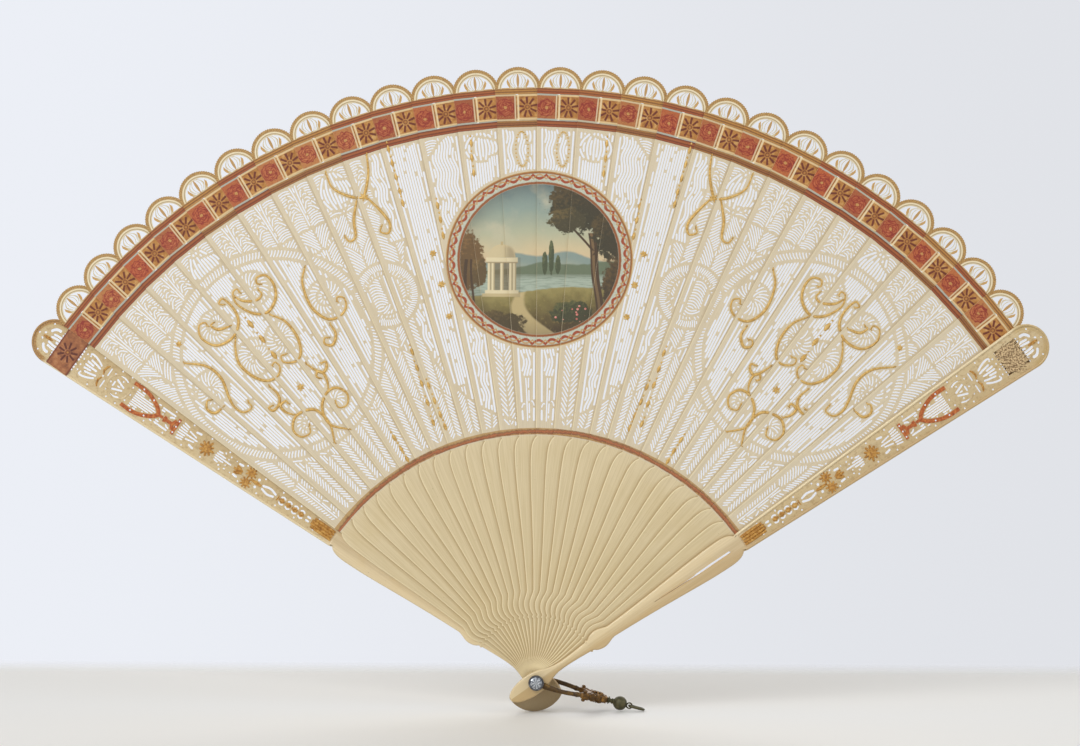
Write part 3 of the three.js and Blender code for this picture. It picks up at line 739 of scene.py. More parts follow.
def place_on_blade(base):
    """The place across and along a blade, in millimetres, from the blade's UV map."""
    return base.node("VectorMath", {"operation": "SCALE"}, {0: base.node("UVMap", {"uv_map": "blade"}), 3: 100.0})


place = place_in_mm(base)
fan_x, fan_y, fan_z = parts_of(place)
blade_u, blade_r, _ = parts_of(place_on_blade(base))
front = base.node("Attribute", {"attribute_name": "front"}, output="Fac")
blade_place = combined(blade_u, blade_r, fan_y)
stick_tone = noise_of(place, 0.045, 0.0)

# How far a place is from the stick's left edge, and from that of the next stick on the open fan.
edge_rows = np.array([p[::-1] for p in stick_outline[:len(stick_outline) // 2] if p[1] < 99.5])
low_places = (3, 6, 9, 12.5, 16, 20, 23, 24.8, 25.3, 25.7, 26.1, 26.6, 27.2, 28, 29, 30, 31, 32, 33, 34, 35,
              36.5, 45, 55, 65, 75, 83, 91.5, 94.5, 97, 98.4)
low_half = (blade_r / 100).ramp([(r / 100, (float(np.interp(r, *edge_rows.T)) / 10,) * 3) for r in low_places]) * 10
high_part = blade_r.rises(98.7, 98.9)
high_half = (blade_r - cusp_radius) * ((stick_half - body_half) / (band_outer - cusp_radius)) + body_half
half_wide = low_half * (1 - high_part) + high_half * high_part
edge_in = blade_u + half_wide
next_in = blade_r * math.sin(angle_step) - edge_in

grain = noise_of(blade_place, 1.0, 4.0, (2.6, 0.05, 1.0))
cloud = noise_of(blade_place, 0.09, 3.0, (1.0, 0.45, 2.0))
ivory = grain.rises(0.3, 0.7).between("cfbe98", "ddcda9")
ivory = ivory.over(cloud.rises(0.42, 0.75) * 0.45, "cab586")
ivory = ivory.over(blade_r.rises(112, 60) * 0.35, "cbb88c")
# Painted shade: the blades darken towards the heads, which lie in shadow at the pivot.
ivory = ivory.over(blade_r.rises(20, 4) * 0.42, "b29d74")
# Painted shade: each blade darkens towards the next stick's left edge, where that stick overlaps it.
overlap_shade = next_in.rises(1.5, 0.0) * blade_r.rises(6, 14) * (1 - high_part * 0.55)
ivory = ivory.over(high_part * 0.3, "ccc5be")
ivory = ivory.over(overlap_shade * 0.38, "a08454")
# A narrow painted shadow line just beside the next stick's left edge.
ivory = ivory.over(next_in.rises(0.5, 0.05) * blade_r.rises(6, 12) * (1 - high_part) * 0.3, "a88046")
# Painted shade along the outline of each head, where the heads lie stacked.
head_edge = (blade_u / 4.4) * (blade_u / 4.4) + ((blade_r + 2.08) / 10.4) * ((blade_r + 2.08) / 10.4)
ivory = ivory.over(head_edge.rises(0.72, 0.97) * blade_r.rises(0.0, -2.0) * 0.55, "785c36")
# A painted highlight along each stick's left edge, where its rounded edge catches the light.
edge_highlight = edge_in.rises(0.6, 0.15) * blade_r.rises(1, 7)
ivory = ivory.over(edge_highlight * (cloud * 0.8 + 0.25), "eee0b8")
walls = 1 - front
ivory = ivory.over(walls * 0.45, "e0c894")
specks = noise_of(blade_place, 1.7, 1.0).rises(0.765, 0.79)
ivory = ivory.over(specks * 0.5, "8c7650")


def stripe(value, middle, half, soft=0.08):
    return (value - middle).size().rises(half + soft, half - soft)


# The upper band of a stick: a rose on a stippled ground, between gilt and coloured lines. The rest
# of the band's width is for the ribbon, which comes out of the slot there. No two are quite alike.
smudge = noise_of(blade_place, 0.9, 3.0)
fine = noise_of(blade_place, 3.2, 2.0)
wobble = (smudge - 0.5) * 0.35
band = blade_r + wobble * 0.5
painted = ivory
own_turn = fan_x.sum("ARCTAN2", fan_x, fan_z) - blade_u.sum("ARCTAN2", blade_u, blade_r)
blade_number = (own_turn / angle_step + (stick_count + 1) / 2).sum(
    "ROUND", own_turn / angle_step + (stick_count + 1) / 2)
own_tone = base.node("TexWhiteNoise", {"noise_dimensions": "1D"}, {"W": blade_number * 1.37})
other_tone = base.node("TexWhiteNoise", {"noise_dimensions": "1D"}, {"W": blade_number * 2.71 + 5.3})
ground = own_tone.ramp([(0.0, "9a4826"), (0.35, "a45e32"), (0.6, "b05224"), (0.8, "b2743e"), (1.0, "903e20")])
ground = ground.over(fine.rises(0.5, 0.62) * 0.4, "c68a54")
ground = ground.over(smudge.rises(0.54, 0.7) * 0.5, "823c22")
rose_u = blade_u + 5.05 + (own_tone - 0.5) * 0.7
rose_r = band - 231.4 + (other_tone - 0.5) * 0.7
rose_reach = (rose_u * rose_u + rose_r * rose_r * 1.15).power(0.5) + (smudge - 0.5) * 1.3
rose_turn = rose_r.sum("ARCTAN2", rose_r, rose_u)
scallop = rose_reach * (1 + (rose_turn * 5 + other_tone * 6).wave().size() * 0.13)
petal_edge = base.node("TexVoronoi", {"feature": "DISTANCE_TO_EDGE"}, {
    "Vector": combined(rose_turn * 0.9 + rose_reach * 0.55, rose_reach * 0.95, blade_number * 3.3), "Scale": 1.15,
    "Randomness": 0.8})
ground = ground.over(scallop.rises(4.0, 3.6) * 0.5, "b0502c")
ground = ground.over(petal_edge.rises(0.15, 0.05) * scallop.rises(4.1, 3.8) * 0.9, "842216")
ground = ground.over(stripe(scallop, 3.95, 0.15, 0.12) * 0.9, "882618")
ground = ground.over(petal_edge.rises(0.25, 0.5) * scallop.rises(3.6, 3.0) * 0.35, "de966c")
ground = ground.over(rose_reach.rises(0.75, 0.5) * 0.8, "c49654")
frame_tone = other_tone.rises(0.3, 0.7)
pale_line = frame_tone.between("cebc94", "aab2a6")
ground = ground.over(stripe(blade_u, slot_place - 0.85, 0.3) * 0.75, "decca6")
ground = ground.over(stripe(band, 236.5, 0.34, 0.12) * 0.9, pale_line)
ground = ground.over(stripe(band, 226.4, 0.42, 0.12) * 0.9, pale_line)
# A painted highlight along the band's left edge.
ground = ground.over(edge_in.rises(0.5, 0.15) * 0.6, "ceaa7a")
painted = painted.over(band.within(226.0, 236.9, 0.05), ground)
red_frame = other_tone.rises(0.45, 0.55)
rim_lines = ((band - 223.4) / 2.9 + (fine - 0.5) * 0.2).ramp([
    (0.0, "5c361a"), (0.16, "a47036"), (0.34, "623218"), (0.5, "986232"), (0.66, "704220"), (0.82, "ac7c42"),
    (0.95, "60381e")])
red_lines = ((band - 223.4) / 2.9 + (fine - 0.5) * 0.2).ramp([
    (0.0, "5c2e18"), (0.2, "9a5026"), (0.4, "682e16"), (0.6, "a8602e"), (0.8, "7e3e1e"), (0.95, "60321c")])
painted = painted.over(band.within(223.5, 226.1, 0.06), rim_lines.over(red_frame, red_lines))
top_gold = ((band - 236.7) / 2.6 + (fine - 0.5) * 0.2).ramp([
    (0.0, "7e5026"), (0.2, "bc8c4a"), (0.4, "70441e"), (0.62, "be8840"), (0.8, "784a20"), (0.95, "be9658")])
top_red = ((band - 236.7) / 2.6 + (fine - 0.5) * 0.2).ramp([
    (0.0, "6a341a"), (0.2, "a45828"), (0.42, "6c2e16"), (0.6, "ae662e"), (0.78, "6e341a"), (0.95, "b27e42")])
painted = painted.over(band.within(236.85, 239.2, 0.06), top_gold.over(red_frame, top_red))

# The round tip: a gilt brown rim like a rope, a pale border with a thin dark line, and gilt leaves.
over_band = (blade_r - band_outer).most(0.0)
rim_reach = (blade_u * blade_u + over_band * over_band).power(0.5)
rim_turn = over_band.sum("ARCTAN2", over_band, blade_u)
tip = blade_r.rises(239.05, 239.3)
rope = (rim_turn * 60 + rim_reach * 3.0).wave()
rim_gold = fine.rises(0.35, 0.68).between("9e763e", "c4a064")
rim_gold = rim_gold.over(rope.rises(0.2, 0.8) * 0.35, "78562c")
painted = painted.over(tip * 0.6, "ded0ac")
painted = painted.over(tip * rim_reach.rises(8.0, 8.25), rim_gold)
painted = painted.over(tip * stripe(rim_reach, 7.75, 0.2), "e8dab8")
painted = painted.over(tip * stripe(rim_reach, 7.28, 0.17) * 0.75, "96784a")
inside_tip = tip * rim_reach.rises(6.7, 6.5)
painted = painted.over(inside_tip * 0.5, "c4b898")
painted = painted.over(inside_tip * blade_u.size().rises(0.62, 0.5) * 0.85, "b28646")
painted = painted.over(inside_tip * blade_u.size().rises(3.0, 3.4) * 0.85, "be924e")

# The lower band: a line of red lead between gilt and umber, put on stick by stick.
low_tone = ((band - 98.6) / 3.2 + (smudge - 0.5) * 0.5 + (stick_tone - 0.5) * 0.8).ramp([
    (0.0, "886034"), (0.22, "b68c50"), (0.4, "7c4826"), (0.62, "b06232"), (0.78, "80522c"), (1.0, "b4905a")])
painted = painted.over(band.within(99.3, 101.9, 0.1) * (0.75 + fine * 0.4), low_tone)

# The picture: a quiet lake country, put on in thin bodycolour across the closed edges of the
# sticks. Sky, far hills, water and meadow lie one behind the other, with a round garden temple,
# trees at both sides and a rose bush in front.
east = (fan_x - 0.4) / medallion_half_wide
north = (fan_z - medallion_height) / medallion_half_high
picture_place = combined(east, north)
soft_noise = noise_of(picture_place, 2.2, 4.0)
leaf_noise = noise_of(picture_place, 9.0, 4.0)
dab_noise = noise_of(picture_place, 26.0, 3.0)
sway_a = (soft_noise - 0.5) * 0.25
sway_b = (leaf_noise - 0.5) * 0.2
sky = (north + 0.06 + sway_a).ramp([
    (0.0, "d6b892"), (0.16, "cebe98"), (0.36, "b2b498"), (0.62, "8e9e94"), (1.0, "688084")])
sky = sky.over(soft_noise.rises(0.5, 0.66) * north.rises(0.05, 0.35) * 0.55, "cec4a6")
sky = sky.over(noise_of(picture_place, 3.4, 5.0).rises(0.58, 0.7) * north.rises(0.4, 0.8) * 0.5, "54707e")
picture = sky


def hill(middle, spread_wide, tall):
    off = (east - middle) / spread_wide
    return tall * (1 / (1 + off * off))


far_hills = hill(-0.28, 0.22, 0.13) + hill(0.3, 0.3, 0.17) - 0.09 + sway_b * 0.12
picture = picture.over((far_hills - north).rises(-0.01, 0.02), "86968e")
picture = picture.over((far_hills - north).rises(0.05, 0.22) * 0.7, "acae96")
near_hills = hill(0.05, 0.3, 0.1) + hill(0.75, 0.3, 0.12) - 0.15 + sway_b * 0.2
picture = picture.over((near_hills - north).rises(-0.01, 0.015), "68745c")
shore = -0.17 + sway_b * 0.06
picture = picture.over((shore - north).rises(-0.006, 0.01), "a6b2a2")
ripple = noise_of(picture_place, 7.0, 3.0, (1, 9, 1))
picture = picture.over((shore - north).rises(0.0, 0.02) * ripple.rises(0.48, 0.6) * 0.6, "808e7e")
picture = picture.over((shore - north).rises(0.07, 0.0) * (shore - north).rises(-0.005, 0.005) * 0.6, "606a54")
meadow_line = -0.36 + (east * 3.1 + 0.4).wave() * 0.05 + sway_b * 0.16
in_meadow = (meadow_line - north).rises(-0.008, 0.012)
grass = ((meadow_line - north) * 1.9 + (leaf_noise - 0.5) * 0.5).ramp([
    (0.0, "968a54"), (0.3, "786c3e"), (0.65, "5e502e"), (1.0, "423420")])
grass = grass.over(dab_noise.rises(0.55, 0.68) * 0.4, "94824c")
picture = picture.over(in_meadow, grass)
path_bend = -0.16 + (north * 5 + 1.2).wave() * 0.2 - north * 0.25
path_wide = 0.04 + (meadow_line - north) * 0.22
on_path = ((east - path_bend).size() - path_wide + sway_b * 0.1).rises(0.02, -0.02) * in_meadow
picture = picture.over(on_path * 0.85, "c4b080")


def block(left, right, low, high, soft=0.006):
    return east.within(left, right, soft) * north.within(low, high, soft)


def dome(middle, base_line, half, tall, soft=0.03):
    a, b = (east - middle) / half, (north - base_line) / tall
    return (a * a + b * b).rises(1 + soft, 1 - soft) * north.rises(base_line - 0.004, base_line + 0.004)


stone, shade = "ded0aa", "968462"
temple = -0.40
inside = block(temple - 0.14, temple + 0.14, -0.36, -0.02)
picture = picture.over(inside * 0.75, "76684c")
for k in range(5):
    column = temple + 0.135 * math.sin((k - 2) / 2 * math.pi / 2)
    picture = picture.over(block(column - 0.017, column + 0.017, -0.355, -0.03), stone)
    picture = picture.over(block(column + 0.006, column + 0.019, -0.355, -0.03) * 0.75, shade)
picture = picture.over(block(temple - 0.18, temple + 0.18, -0.395, -0.35), stone)
picture = picture.over(block(temple - 0.21, temple + 0.21, -0.425, -0.388), "c4b286")
picture = picture.over(block(temple - 0.17, temple + 0.17, -0.04, 0.02), stone)
picture = picture.over(block(temple - 0.17, temple + 0.17, -0.045, -0.03) * 0.8, shade)
picture = picture.over(dome(temple, 0.02, 0.145, 0.15), "cebe96")
picture = picture.over(dome(temple + 0.045, 0.02, 0.1, 0.13, 0.4) * east.rises(temple, temple + 0.09) * 0.7, "928468")
picture = picture.over(block(temple - 0.012, temple + 0.012, 0.16, 0.2), "beaa7e")
picture = picture.over(east.rises(temple + 0.02, temple + 0.2) * block(temple - 0.2, temple + 0.2, -0.43, 0.02) * 0.3,
                       "60523a")


def clump(middle, height, half, tall, rough, colour, light, under):
    """A mass of leaves with a ragged edge, lit from the upper left."""
    a, b = (east - middle) / half, (north - height) / tall
    reach = (a * a + b * b).power(0.5) + (leaf_noise - 0.5) * rough + (dab_noise - 0.5) * rough * 0.7
    mask = reach.rises(1.06, 0.9)
    lit = (b * 0.6 - a * 0.5 + (dab_noise - 0.5) * 2.4).rises(0.0, 0.9)
    picture_now = under.over(mask, colour)
    return picture_now.over(mask * lit * 0.6, light)


def limb(left, low, right, high, wide):
    lean = (north - low) / (high - low)
    centre = left + (right - left) * lean + (north * 9).wave() * 0.008
    return (east - centre).size().rises(wide + 0.008, wide - 0.004) * north.within(low, high, 0.01)


bark, dark_leaf, brown_leaf = "4a3826", "3a3624", "685430"
picture = clump(-0.8, -0.02, 0.2, 0.34, 1.0, "6e5432", "a87e4a", picture)
picture = clump(-0.66, -0.16, 0.1, 0.16, 1.0, "604e30", "8e7042", picture)
for left, right, wide in ((-0.8, -0.78, 0.016), (-0.7, -0.73, 0.01)):
    picture = picture.over(limb(left, -0.62, right, 0.0, wide), bark)
for middle, tall in ((0.06, 0.13), (0.13, 0.19), (0.2, 0.11)):
    picture = clump(middle, -0.17 + tall, 0.03, tall, 0.5, "485038", "70744e", picture)
picture = picture.over(limb(0.66, -0.7, 0.56, 0.3, 0.04), bark)
picture = picture.over(limb(0.655, -0.7, 0.55, 0.3, 0.012) * 0.7, "866c4a")
picture = picture.over(limb(0.58, 0.05, 0.85, 0.4, 0.018), bark)
picture = picture.over(limb(0.57, 0.1, 0.3, 0.42, 0.014), bark)
picture = clump(0.5, 0.62, 0.4, 0.3, 1.0, dark_leaf, brown_leaf, picture)
picture = clump(0.8, 0.3, 0.24, 0.3, 1.1, dark_leaf, brown_leaf, picture)
picture = clump(0.3, 0.44, 0.2, 0.14, 1.1, "46402a", "78643a", picture)
picture = clump(0.86, -0.3, 0.18, 0.34, 0.9, "423826", "705834", picture)
picture = clump(0.34, -0.6, 0.22, 0.13, 0.9, "3e4028", "68683e", picture)
roses = base.node("TexVoronoi", {}, {"Vector": picture_place, "Scale": 17.0}, output="Distance").rises(0.27, 0.2)
bush = ((east - 0.34) / 0.22) * ((east - 0.34) / 0.22) + ((north + 0.6) / 0.13) * ((north + 0.6) / 0.13)
picture = picture.over(roses * bush.rises(1.0, 0.7), "ce7468")
picture = picture.over(roses * bush.rises(1.0, 0.7) * dab_noise.rises(0.5, 0.6) * 0.7, "e8b0a0")
picture = clump(-0.45, -0.72, 0.3, 0.13, 0.9, "4e4228", "78643a", picture)
wash = (noise_of(place, 1.3, 3.0) - 0.5) * 0.35 + 0.5
picture = picture.over(wash.rises(0.5, 0.8) * 0.35, "baaa82")
from_middle = (east * east + north * north).power(0.5)
picture = picture.over(from_middle.rises(0.62, 0.95) * 0.45, "463826")

# The picture's frame: a pale ring with looped festoons between two red-brown lines.
frame_turn = north.sum("ARCTAN2", north, east)
loops = (frame_turn * 21).wave().size()
frame_reach = from_middle + (smudge - 0.5) * 0.012
border = fine.rises(0.3, 0.7).between("b0b8aa", "ccccb8")
border = border.over(stripe(frame_reach, 0.875 - 0.01, 0.014, 0.006), "92562e")
festoon = frame_reach - (0.915 + 0.045 * (1 - loops))
border = border.over(festoon.size().rises(0.02, 0.012), "9e4a2c")
counter = frame_reach - (0.915 + 0.045 * loops)
border = border.over(counter.size().rises(0.013, 0.007) * 0.8, "be8c50")
border = border.over(frame_reach.rises(0.965, 0.98), "966030")
border = border.over(frame_reach.rises(0.988, 0.994), "ba9054")
picture = picture.over(frame_reach.rises(0.845, 0.855), border)
# A painted highlight along each stick's left edge, across the picture.
seam_highlight = (blade_u + half_wide).rises(0.34, 0.12)
picture = picture.over(seam_highlight * 0.85, "cec0a0")
painted = painted.over(from_middle.rises(1.004, 0.998), picture)
shown_paint = ivory.over(front, painted)

feed(stick_ivory, "Base Color", shown_paint)
polish = grain * 0.16 + 0.36
feed(stick_ivory, "Roughness", polish + front * from_middle.rises(1.0, 0.99) * 0.1)
rope_relief = rope * tip * rim_reach.rises(8.0, 8.25)
soft_edge = edge_in.rises(0.0, 0.55) * front
rough = base.node("Bump", {}, {"Strength": 0.6, "Distance": 0.00008,
                               "Height": grain * 0.14 + fine * 0.08 + rope_relief * 0.3 + soft_edge * 1.6})
feed(stick_ivory, "Normal", rough)
surface(stick_ivory)["Coat Weight"].default_value = 0.12
for stick in sticks.values():
    stick.data.materials.append(stick_ivory)


# The gilding on the sticks: scrolls, garlands, husks and stars of shell gold, laid a little raised
# on the bars that the fretsaw left for them. Each stick carries its own lengths of every line.
gilding, base = new_finish("shell_gold")
place = place_in_mm(base)
worn = noise_of(place, 1.1, 4.0)
gold = worn.ramp([(0.0, "926832"), (0.4, "c29850"), (0.56, "d6b068"), (1.0, "f0d89e")])
feed(gilding, "Base Color", gold)
feed(gilding, "Roughness", worn * 0.3 + 0.3)
feed(gilding, "Metallic", worn.rises(0.3, 0.6) * 0.35 + 0.2)
scuffs = base.node("Bump", {}, {"Strength": 0.3, "Distance": 0.00005, "Height": noise_of(place, 4.0, 3.0)})
feed(gilding, "Normal", scuffs)


def drawn_tubes(name, lines, resolution=1, closed=False):
    """Round bars along lines, made one mesh. Each line lists its points and its radii."""
    curve = bpy.data.curves.new(name, "CURVE")
    curve.dimensions = "3D"
    curve.bevel_depth = 1.0
    curve.bevel_resolution = resolution
    curve.use_fill_caps = True
    for points, radii in lines:
        spline = curve.splines.new("POLY")
        spline.points.add(len(points) - 1)
        spline.use_cyclic_u = closed
        for dot, spot, radius in zip(spline.points, points, radii):
            dot.co = (*spot, *([0] * (3 - len(spot))), 1)
            dot.radius = radius
    bars = bpy.data.objects.new(name, curve)
    bpy.context.scene.collection.objects.link(bars)
    pick(bars)
    bpy.ops.object.convert(target="MESH")
    return bpy.context.object


def raised_line(name, lines, high):
    """The same bars made half round, to stand on a flat face."""
    laid = drawn_tubes(name, lines)
    for vertex in laid.data.vertices:
        vertex.co.z = max(-0.02, min(1.2, vertex.co.z / 0.5)) * high
    return laid


gold_lines = {blade: [] for blade in sticks}


def owner_of(points):
    """The stick that shows at a place of the open fan: the foremost one that covers it."""
    radius = np.hypot(points[:, 0], points[:, 1])
    turn = np.arctan2(points[:, 0], points[:, 1])
    left = np.arcsin(half_width(radius) / radius)
    return np.clip(np.floor((turn + left) / angle_step + (stick_count + 1) / 2).astype(int), 1, stick_count)


def gild(line, half, gap=0.12):
    """Lays a line of the open fan on the sticks that it crosses, and breaks it at their edges."""
    points = spaced(line, 0.45)
    owners = owner_of(points)
    whole = np.linspace(0, 1, len(points))
    halves = half * (0.58 + 0.42 * np.sin(np.pi * np.clip(whole * 1.1, 0, 1)))
    cuts = [0, *np.flatnonzero(np.diff(owners)) + 1, len(points)]
    for first, last in zip(cuts, cuts[1:]):
        blade = int(owners[first])
        local = sawn[blade].from_fan(points[first:last])
        inside = local[:, 0] > gap + half - half_width(local[:, 1])
        local, part = local[inside], halves[first:last][inside]
        if len(local) > 2:
            ends = np.r_[0.55, np.ones(len(local) - 2), 0.55]
            gold_lines[blade].append((local, part * ends))


def husk(blade, u, r, tall, half):
    t = np.linspace(-1, 1, 5)
    gold_lines[blade].append((np.c_[np.full(5, u), r + t * tall], half * (1 - t ** 2) ** 0.7 + 0.08))


for line in scrolls:
    gild(line, 0.58)
    for end, near in ((line[0], line[2]), (line[-1], line[-3])):
        knob = np.array([end - 0.001, end, end + (near - end) * 0.3])
        blade = int(owner_of(knob)[1])
        gold_lines[blade].append((sawn[blade].from_fan(knob), np.array([0.5, 0.92, 0.5])))

for side in (-1, 1):
    for marks, tall, half in (([spot for chain in husk_chains for spot in chain], 1.7, 0.6), (buds, 2.2, 0.85)):
        for spot in marks:
            spot = seen_at(*spot) * (side, 1)
            blade = int(owner_of(np.array([spot]))[0])
            u, r = sawn[blade].from_fan(spot)[0]
            husk(blade, u, r, tall, half)
            husk(blade, u, r + tall + 1.1, 0.5, 0.32)
    for across, down, size in stars:
        spot = seen_at(across, down) * (side, 1)
        blade = int(owner_of(np.array([spot]))[0])
        middle = sawn[blade].from_fan(spot)[0]
        for k in range(6):
            ray = np.array((math.cos(k * math.pi / 3), math.sin(k * math.pi / 3)))
            gold_lines[blade].append((np.array([middle, middle + ray * size * 0.6, middle + ray * size]),
                                      np.array([0.3, 0.42, 0.1])))
for blade, oval in bead_ovals.items():
    middle = sawn[blade].from_fan(seen_at(*oval))[0]
    for k in range(26):
        turn = k * math.pi / 13
        spot = middle + np.array((oval_half_wide * math.cos(turn), oval_half_tall * math.sin(turn)))
        gold_lines[blade].append((np.array([spot - (0, 0.3), spot, spot + (0, 0.3)]), np.array([0.2, 0.4, 0.2])))

for blade, lines in gold_lines.items():
    if not lines:
        continue
    name = f"stick_{blade:02d}"
    gold_work = raised_line(name + "_gilding", lines, 0.12)
    stand_up(gold_work, blade_angle(blade), lambda r, w, y=layer(blade): y - thickness(r) / 2 - w)
    gold_work.data.materials.append(gilding)
    bpy.ops.object.shade_smooth()
    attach(gold_work, name)


# Ribbon: a printed silk ribbon, woven in fine ribs, that runs through the slots and holds the
# blades evenly apart. Every blade carries its own length, from behind it through its slot to its
# front, so that the lengths fold against each other as the fan shuts.
ribbon_middle = 231.6
ribbon_tall = 10.1
ribbon_off = 0.2
ribbon_guard_y = 6.81


def printed_silk(name, tones, sun_at, ray_colour, bare_edge):
    """The ribbon's silk, printed with a sun at a place across the blade."""
    silk, base = new_finish(name)
    silk_u, silk_r, _ = parts_of(place_on_blade(base))
    place = place_in_mm(base)
    worn = noise_of(place, 0.5, 4.0)
    threads = noise_of(combined(silk_u, silk_r), 1.0, 2.0, (5.0, 0.8, 1.0))
    cloth = worn.rises(0.25, 0.75).ramp([(k / 3, tone) for k, tone in enumerate(tones)])
    cloth = cloth.over(threads.rises(0.5, 0.7) * 0.3, tones[0])
    sun_u = silk_u - sun_at + (worn - 0.5) * 0.4
    sun_r = silk_r - ribbon_middle + (threads - 0.5) * 0.3
    sun_reach = (sun_u * sun_u + sun_r * sun_r).power(0.5)
    sun_part = sun_r.sum("ARCTAN2", sun_r, sun_u) * (9 / (2 * math.pi)) + 0.2
    from_ray = (sun_part.sum("FRACT", sun_part) - 0.5).size() * sun_reach * (2 * math.pi / 9)
    rays = (from_ray - sun_reach * 0.035).rises(0.42, 0.22) * sun_reach.within(1.35, 4.15, 0.25)
    cloth = cloth.over(rays * 0.95, ray_colour)
    cloth = cloth.over(sun_reach.within(0.5, 0.95, 0.14) * 0.85, "70361c")
    cloth = cloth.over(sun_reach.rises(0.5, 0.35), "aa7436")
    selvedge = (silk_r - ribbon_middle).size()
    cloth = cloth.over(selvedge.rises(4.25, 4.5) * 0.8, bare_edge)
    cloth = cloth.over(selvedge.within(4.0, 4.2, 0.08) * 0.45, "8c582e")
    cloth = cloth.over(silk_u.within(slot_place, slot_place + 0.75, 0.1) * 0.8
                       * silk_u.rises(sun_at - 3, sun_at - 3.2), "e6d2a8")
    feed(silk, "Base Color", cloth)
    feed(silk, "Roughness", threads * 0.2 + 0.5)
    ribs = (silk_u * 9.0).wave()
    weave = base.node("Bump", {}, {"Strength": 0.4, "Distance": 0.00006, "Height": ribs * 0.3 + threads * 0.5})
    feed(silk, "Normal", weave)
    surface(silk)["Sheen Weight"].default_value = 0.15
    return silk


silk = printed_silk("printed_silk", ("925c26", "ae7636", "ba8442", "cca064"), 3.55,
                    "622010", "e0c898")
end_silk = printed_silk("end_silk", ("7a4a2e", "965c38", "a26840", "b47c52"), -0.4,
                        "542014", "6e3220")
worn_silk = printed_silk("worn_silk", ("967a56", "bea076", "d0b48a", "e0c8a0"), -40,
                         "542014", "786040")


def ribbon_length(blade, left, right, through):
    """One length of ribbon, from left to right across a blade. through gives its height off it."""
    bpy.ops.object.select_all(action="DESELECT")
    bpy.ops.mesh.primitive_grid_add(x_subdivisions=44, y_subdivisions=6, size=1)
    length = bpy.context.object
    length.name = f"ribbon_{blade:02d}"
    bpy.ops.object.mode_set(mode="EDIT")
    bpy.ops.transform.resize(value=(right - left, ribbon_tall, 1))
    bpy.ops.transform.translate(value=((left + right) / 2, ribbon_middle, 0))
    bpy.ops.object.mode_set(mode="OBJECT")
    for vertex in length.data.vertices:
        vertex.co.z = through(vertex.co.x) + 0.012 * math.sin(vertex.co.y * 1.7 + blade) * math.cos(vertex.co.x * 0.6)
    wall_maker = length.modifiers.new("cloth", "SOLIDIFY")
    wall_maker.thickness = 0.08
    wall_maker.offset = 0
    bpy.ops.object.modifier_apply(modifier="cloth")
    length.data.uv_layers.remove(length.data.uv_layers[0])
    return length


def climb(u):
    share = min(1, max(0, (u - slot_place + 0.4) / 0.8))
    return ribbon_off * (2 * (3 * share ** 2 - 2 * share ** 3) - 1)


for blade in range(stick_count + 2):
    if blade in (0, stick_count + 1):
        length = ribbon_length(blade, -8.5, 8.4, lambda u: 0)
        behind = ribbon_guard_y if blade == 0 else -ribbon_guard_y
        body = "rear_guard" if blade == 0 else "front_guard"
        stand_up(length, blade_angle(blade), lambda r, w, y=behind: y - w)
    else:
        length = ribbon_length(blade, -8.6, 8.15, climb)
        body = f"stick_{blade:02d}"
        stand_up(length, blade_angle(blade), lambda r, w, y=layer(blade): y - w)
    length.data.materials.append({"rear_guard": end_silk, "front_guard": worn_silk}.get(body, silk))
    bpy.ops.object.shade_smooth_by_angle(angle=0.9)
    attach(length, body)
    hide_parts("ribbon")
    wide = 0.0169 if body.endswith("guard") else 0.0168

# The ribbon's end has frayed behind the front guard. Its brown threads have worked through the
# openings of the guard's tip.
fray, base = new_finish("frayed_thread")
place = place_in_mm(base)
tone = noise_of(place, 1.5, 2.0).rises(0.35, 0.65).between("7a6040", "dabe92")
feed(fray, "Base Color", tone)
feed(fray, "Roughness", noise_of(place, 3.0) * 0.3 + 0.55)
play = random.Random(7)
threads = []
for k in range(260):
    start = np.array((play.uniform(-5.4, 4), play.uniform(225.8, 232.2)))
    swing = np.array((play.uniform(-2, 5), play.uniform(2.5, 5.5)))
    lean = play.uniform(-2.5, 2.5)
    thread = bend(start, start + swing * 0.3 + (lean, 0), start + swing * 0.8 - (lean, 0),
                  start + swing + (0, play.uniform(0, 1.5)), 7)
    threads.append((np.array([start, *thread]), np.full(8, play.uniform(0.1, 0.17))))
tuft = raised_line("ribbon_fray", threads, 0.12)
stand_up(tuft, blade_angle(stick_count + 1), lambda r, w: -8.04 - 2 * w)
tuft.data.materials.append(fray)
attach(tuft, "front_guard")


# Guards: the two outer blades, cut from thicker ivory and rounded, with a sunk panel that is
# pierced and carved: a reeded foot, a chain of husks, flowers, a red lyre, a roundel, a palmette
# and an arch. Pin holes run along both rims. The front guard's lower half has a crack.
guard_half = 9.3
guard_inner_y = 6.865
guard_thick = 1.8
plate_half = 0.88
guard_ivory, base = new_finish("guard_ivory")
place = place_in_mm(base)
guard_u, guard_r, _ = parts_of(place_on_blade(base))
guard_place = combined(guard_u, guard_r)
grain = noise_of(guard_place, 1.0, 4.0, (2.2, 0.045, 1.0))
cloud = noise_of(guard_place, 0.11, 3.0, (1.0, 0.5, 1.0))
fine = noise_of(place, 2.4, 2.0)
colour = grain.rises(0.3, 0.7).between("c4ae86", "d3bf9a")
colour = colour.over(cloud.rises(0.45, 0.72) * 0.45, "ccaf76")
colour = colour.over(guard_r.rises(100, 40) * 0.3, "e2cea0")
# Painted shade: darker towards the head.
colour = colour.over(guard_r.rises(22, 2) * 0.5, "b29a6c")
rim_half = (guard_r - cusp_radius) * ((guard_half - body_half) / 140.2) + body_half
outer_rim = (rim_half - guard_u.size()).rises(1.3, 0.2) * guard_r.rises(99, 101)
